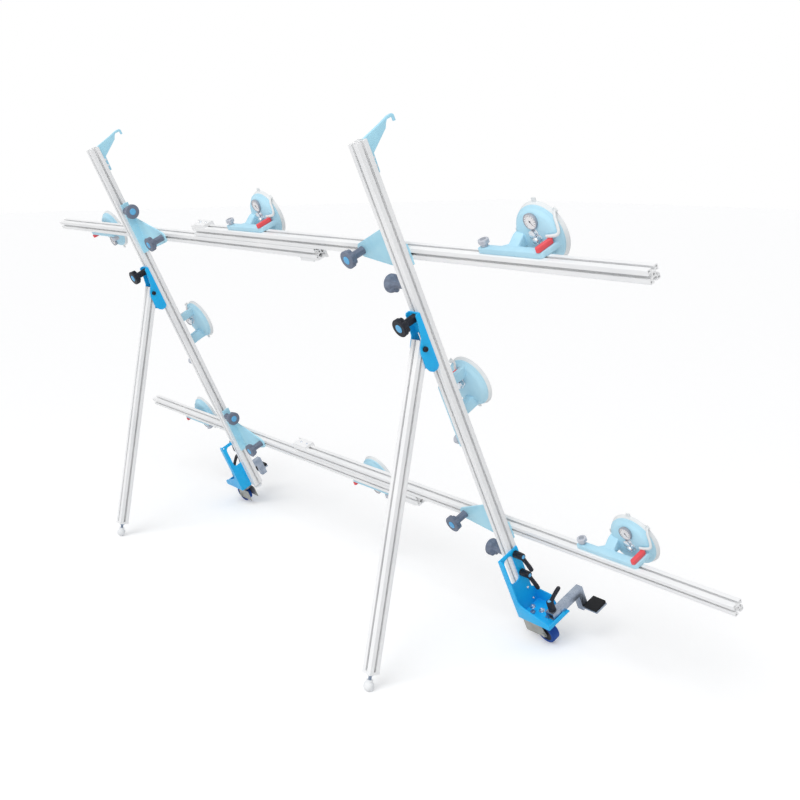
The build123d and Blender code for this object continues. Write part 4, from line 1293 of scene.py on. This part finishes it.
@dataclass
class Wheel:
    """Castor wheel with a soft tread round a hard core."""

    half: Half
    at: Point = (900.0, -27.0, 148.0)
    radius: float = 35.0
    half_width: float = 15.0
    core_r: float = 25.0
    bore: float = 4.1

    def build(self) -> None:
        """Make the tread, the dished core and the bearing rings."""
        name = f"{self.half.value}_wheel"
        place = LAYOUT.place((self.half.across(self.at[0]), *self.at[1:]), ACROSS, BACK)
        wide, outer, core = self.half_width, self.radius, self.core_r
        tread = Piece(f"{name}_tread", name)
        side = [(core, wide - 0.6), (core + 1.0, wide), (outer - 3.4, wide), (outer - 1.4, wide - 0.7),
                (outer - 0.4, wide - 2.2), (outer, wide - 4.6)]
        tread.lathe(place, both_sides(side), WHEEL_TREAD, 72)
        tread.emit(name)
        hub = Piece(f"{name}_core", name)
        face = [(self.bore, wide + 0.7), (7.4, wide + 0.7), (8.0, wide + 0.2), (8.6, wide - 1.4),
                (9.6, wide - 2.8), (core - 4.0, wide - 2.8), (core - 2.8, wide - 2.0),
                (core - 1.9, wide - 0.9), (core, wide - 0.7)]
        hub.lathe(place, both_sides(face), WHEEL_CORE, 72)
        hub.emit()


@dataclass
class LegFoot:
    """Round white foot on a threaded stud below the rear leg."""

    half: Half
    repeat: Repeat
    items: Items
    ball_r: float = 16.0
    neck_top: float = 18.0
    stud_r: float = 4.0
    stud_low: float = 10.0
    stud_end: float = 66.0
    nut_r: float = 8.6
    nut_h: float = 6.4
    lock_z: float = 30.0
    thread_z: float = 19.0
    plug_z: float = 37.0

    def place(self) -> Matrix:
        """Where the foot is.

        Returns:
            Matrix at the middle of the foot's ball with z up the leg.
        """
        angle = LAYOUT.leg_angle
        axis = (0.0, math.cos(angle), -math.sin(angle))
        v = LAYOUT.leg_pivot[0] - LAYOUT.leg_reach * math.cos(angle)
        w = LAYOUT.leg_pivot[1] + LAYOUT.leg_reach * math.sin(angle)
        return LAYOUT.place((self.half.across(LAYOUT.upright_x), v, w), ACROSS, axis)

    def build(self) -> None:
        """Make the foot, the stud's core, its lock nut and its thread."""
        name = f"{self.half.value}_leg_foot"
        place = self.place()
        ball = self.ball_r
        foot = Piece(f"{name}_ball", name)
        angles = [math.radians(angle) for angle in range(-80, 36, 10)]
        arc = [(ball * math.cos(angle), ball * math.sin(angle)) for angle in angles]
        top = self.neck_top
        neck = [(11.0, 10.4), (9.9, 11.5), (9.9, top - 1.0), (9.0, top), (0.0, top)]
        foot.lathe(place, [(0.0, -ball), *arc, *neck], WHITE_PLASTIC, 48)
        foot.emit(name)
        stud = Piece(f"{name}_stud", name)
        stud.rod(place, self.stud_r, self.stud_low, self.stud_end, ZINC, 28)
        stud.prism(place, hexagon(self.nut_r), self.lock_z, self.lock_z + self.nut_h, ZINC, 0.6)
        stud.emit()
        way = (place.to_3x3() @ Vector(BACK)).normalized()
        pitch = self.items.pitch
        count = int((self.plug_z - top) / pitch)
        marks = [(place @ Vector((0.0, 0.0, self.thread_z + pitch * turn)), way) for turn in range(count)]
        self.repeat.spread(f"{name}_thread", name, self.items.thread(), marks, ZINC)


@dataclass
class Screws:
    """Bolts and button head screws of one half."""

    half: Half
    repeat: Repeat
    items: Items
    swivel: Pair = (858.0, 148.0)
    spread: float = 20.0
    floor: float = 32.0
    clamp_at: Point = (913.2, 3.5, 130.0)
    clamp_half: float = 9.0
    joiner_in: tuple[float, ...] = (348.0, 310.0)
    joiner_rise: float = 28.5
    joiner_w: float = 70.0
    wall_x: float = 828.0
    wall_at: tuple[Pair, ...] = ((97.5, 113.6), (48.0, 106.5))
    hook_half: float = 4.0
    hook_v: Pair = (1508.0, 1530.0)
    hook_w: float = 89.0

    def bolt_seats(self) -> list[tuple[Point, Point]]:
        """Seats of the castor plate's four bolts.

        Returns:
            Seat and facing of each bolt.
        """
        u, w = self.swivel
        steps = (-self.spread, self.spread)
        return [((self.half.across(u + du), self.floor, w + dw), UP) for du in steps for dw in steps]

    def screw_seats(self) -> list[tuple[Point, Point]]:
        """Seats of the screws of the arm clamp, the rail joiners, the castor bracket and the hook.

        Returns:
            Seat and facing of each screw.
        """
        half, sign = self.half, self.half.sign
        u, rise, w = self.clamp_at
        steps = (-self.clamp_half, self.clamp_half)
        found = [((half.across(u), self.floor + rise, w + dw), UP) for dw in steps]
        for level in LAYOUT.levels(half).values():
            for inside in self.joiner_in:
                seat = (half.across(-inside), level + sign * self.joiner_rise, self.joiner_w)
                found.append((seat, (0.0, sign, 0.0)))
        found += [((half.across(self.wall_x), v, w), half.outward) for v, w in self.wall_at]
        middle = half.across(LAYOUT.upright_x)
        for way in (-1.0, 1.0):
            for v in self.hook_v:
                found.append(((middle + way * self.hook_half, v, self.hook_w), (way, 0.0, 0.0)))
        return found

    def build(self) -> None:
        """Set the bolts and the screws, each turned at random."""
        kinds = (("castor_bolts", self.items.bolt(), self.bolt_seats()),
                 ("screws", self.items.screw(), self.screw_seats()))
        for label, item, seats in kinds:
            name = f"{self.half.value}_{label}"
            marks = [(LAYOUT.spot(at), LAYOUT.direction(*way)) for at, way in seats]
            self.repeat.spread(name, self.half.body, item, marks, BRIGHT_ZINC, math.tau)


@dataclass
class Studio:
    """Floor, light and camera."""

    floor_half: float = 30.0
    floor_tone: Colour = (0.9, 0.9, 0.9)
    floor_rough: float = 0.9
    floor_shine: float = 0.1
    floor_lift: float = 0.22
    sky: float = 0.54
    sky_tone: Colour = (0.98, 0.985, 1.0)
    sun_way: Point = (0.15, -0.65, 0.88)
    sun_strength: float = 1.2
    sun_spread: float = math.radians(40.0)
    key_at: Point = (3.2, -3.6, 3.6)
    key_aim: Point = (0.0, 0.0, 0.8)
    key_power: float = 40.0
    key_size: float = 2.5
    lens: float = 48.04
    sensor: float = 36.0
    far: float = 200.0
    eye: Point = (3.05163, -2.03028, 1.45798)
    eye_tilt: float = math.radians(77.5274)
    eye_turn: float = math.radians(51.4388)

    @staticmethod
    def seen(tree: Tree) -> Socket:
        """Value that is 1 where the eye or a mirror looks, and 0 for light that falls on the frame.

        Args:
            tree: Node tree that gets the nodes.

        Returns:
            The value's socket.
        """
        path = tree.nodes.new("ShaderNodeLightPath")
        total = path.outputs["Is Camera Ray"]
        for ray in ("Is Glossy Ray", "Is Transmission Ray"):
            total = reckon(tree, "MAXIMUM", total, path.outputs[ray])
        return total

    def floor(self) -> None:
        """Plain pale floor that keeps the frame's shadow."""
        mesh = bpy.data.meshes.new("floor")
        edge = self.floor_half
        corners = [(-edge, -edge, 0), (edge, -edge, 0), (edge, edge, 0), (-edge, edge, 0)]
        mesh.from_pydata(corners, [], [(0, 1, 2, 3)])
        paint = bpy.data.materials.new("floor_paint")
        paint.use_nodes = True
        tree = paint.node_tree
        shader = tree.nodes["Principled BSDF"]
        shader.inputs["Base Color"].default_value = (*self.floor_tone, 1.0)
        shader.inputs["Roughness"].default_value = self.floor_rough
        shader.inputs["Specular IOR Level"].default_value = self.floor_shine
        glow = tree.nodes.new("ShaderNodeEmission")
        tree.links.new(reckon(tree, "MULTIPLY", self.seen(tree), self.floor_lift), glow.inputs["Strength"])
        both = tree.nodes.new("ShaderNodeAddShader")
        tree.links.new(shader.outputs[0], both.inputs[0])
        tree.links.new(glow.outputs[0], both.inputs[1])
        tree.links.new(both.outputs[0], tree.nodes["Material Output"].inputs["Surface"])
        mesh.materials.append(paint)
        linked("floor", mesh)

    def world(self) -> None:
        """White backdrop for the camera and even light for everything else."""
        world = bpy.data.worlds.new("studio")
        bpy.context.scene.world = world
        world.use_nodes = True
        tree = world.node_tree
        soft = tree.nodes["Background"]
        soft.inputs["Color"].default_value = (*self.sky_tone, 1.0)
        soft.inputs["Strength"].default_value = self.sky
        white = tree.nodes.new("ShaderNodeBackground")
        white.inputs["Color"].default_value = (1.0, 1.0, 1.0, 1.0)
        pick = tree.nodes.new("ShaderNodeMixShader")
        tree.links.new(self.seen(tree), pick.inputs[0])
        tree.links.new(soft.outputs[0], pick.inputs[1])
        tree.links.new(white.outputs[0], pick.inputs[2])
        tree.links.new(pick.outputs[0], tree.nodes["World Output"].inputs["Surface"])

    def lamps(self) -> None:
        """Even light from far off with soft shadows, and a square soft lamp aimed at the frame."""
        data = bpy.data.lights.new("daylight", "SUN")
        data.energy = self.sun_strength
        data.angle = self.sun_spread
        linked("daylight", data).rotation_euler = Vector(self.sun_way).to_track_quat("Z", "Y").to_euler()
        data = bpy.data.lights.new("key", "AREA")
        data.energy = self.key_power
        data.size = self.key_size
        lamp = linked("key", data)
        lamp.location = self.key_at
        lamp.rotation_euler = (Vector(self.key_aim) - Vector(self.key_at)).to_track_quat("-Z", "Y").to_euler()

    def camera(self) -> None:
        """Camera at the photo's angle."""
        data = bpy.data.cameras.new("camera")
        data.lens = self.lens
        data.sensor_width = self.sensor
        data.clip_end = self.far
        camera = linked("camera", data)
        camera.location = self.eye
        camera.rotation_euler = (self.eye_tilt, 0.0, self.eye_turn)
        bpy.context.scene.camera = camera

    def build(self) -> None:
        """Set the whole studio up."""
        bpy.context.scene.view_settings.view_transform = "Standard"
        self.floor()
        self.world()
        self.lamps()
        self.camera()


def dress_nodes(nodes: dict[str, bpy.types.Object]) -> None:
    """Give every carried node its finish.

    Args:
        nodes: Objects of the frame by node name.
    """
    for name, node in nodes.items():
        finish = NODE_FINISHES[name.split("_", 1)[1]]
        node.data.materials.clear()
        node.data.materials.append(finish.material())
        LOG.info("%s: %s", name, finish.name)


def main() -> None:
    """Build the scene piece by piece."""
    logging.basicConfig(level=logging.INFO, format="%(message)s")
    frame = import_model()
    dress_nodes(frame["nodes"])
    repeat, items = Repeat(), Items()
    for half in Half:
        CupSet(half, repeat, items).build()
        Knobs(half).build()
        Levers(half).build()
        Rounded().build(half, frame["nodes"])
        PivotCaps(half).build()
        Wheel(half).build()
        LegFoot(half, repeat, items).build()
        Screws(half, repeat, items).build()
    Studio().build()


if __name__ == "__main__":
    main()
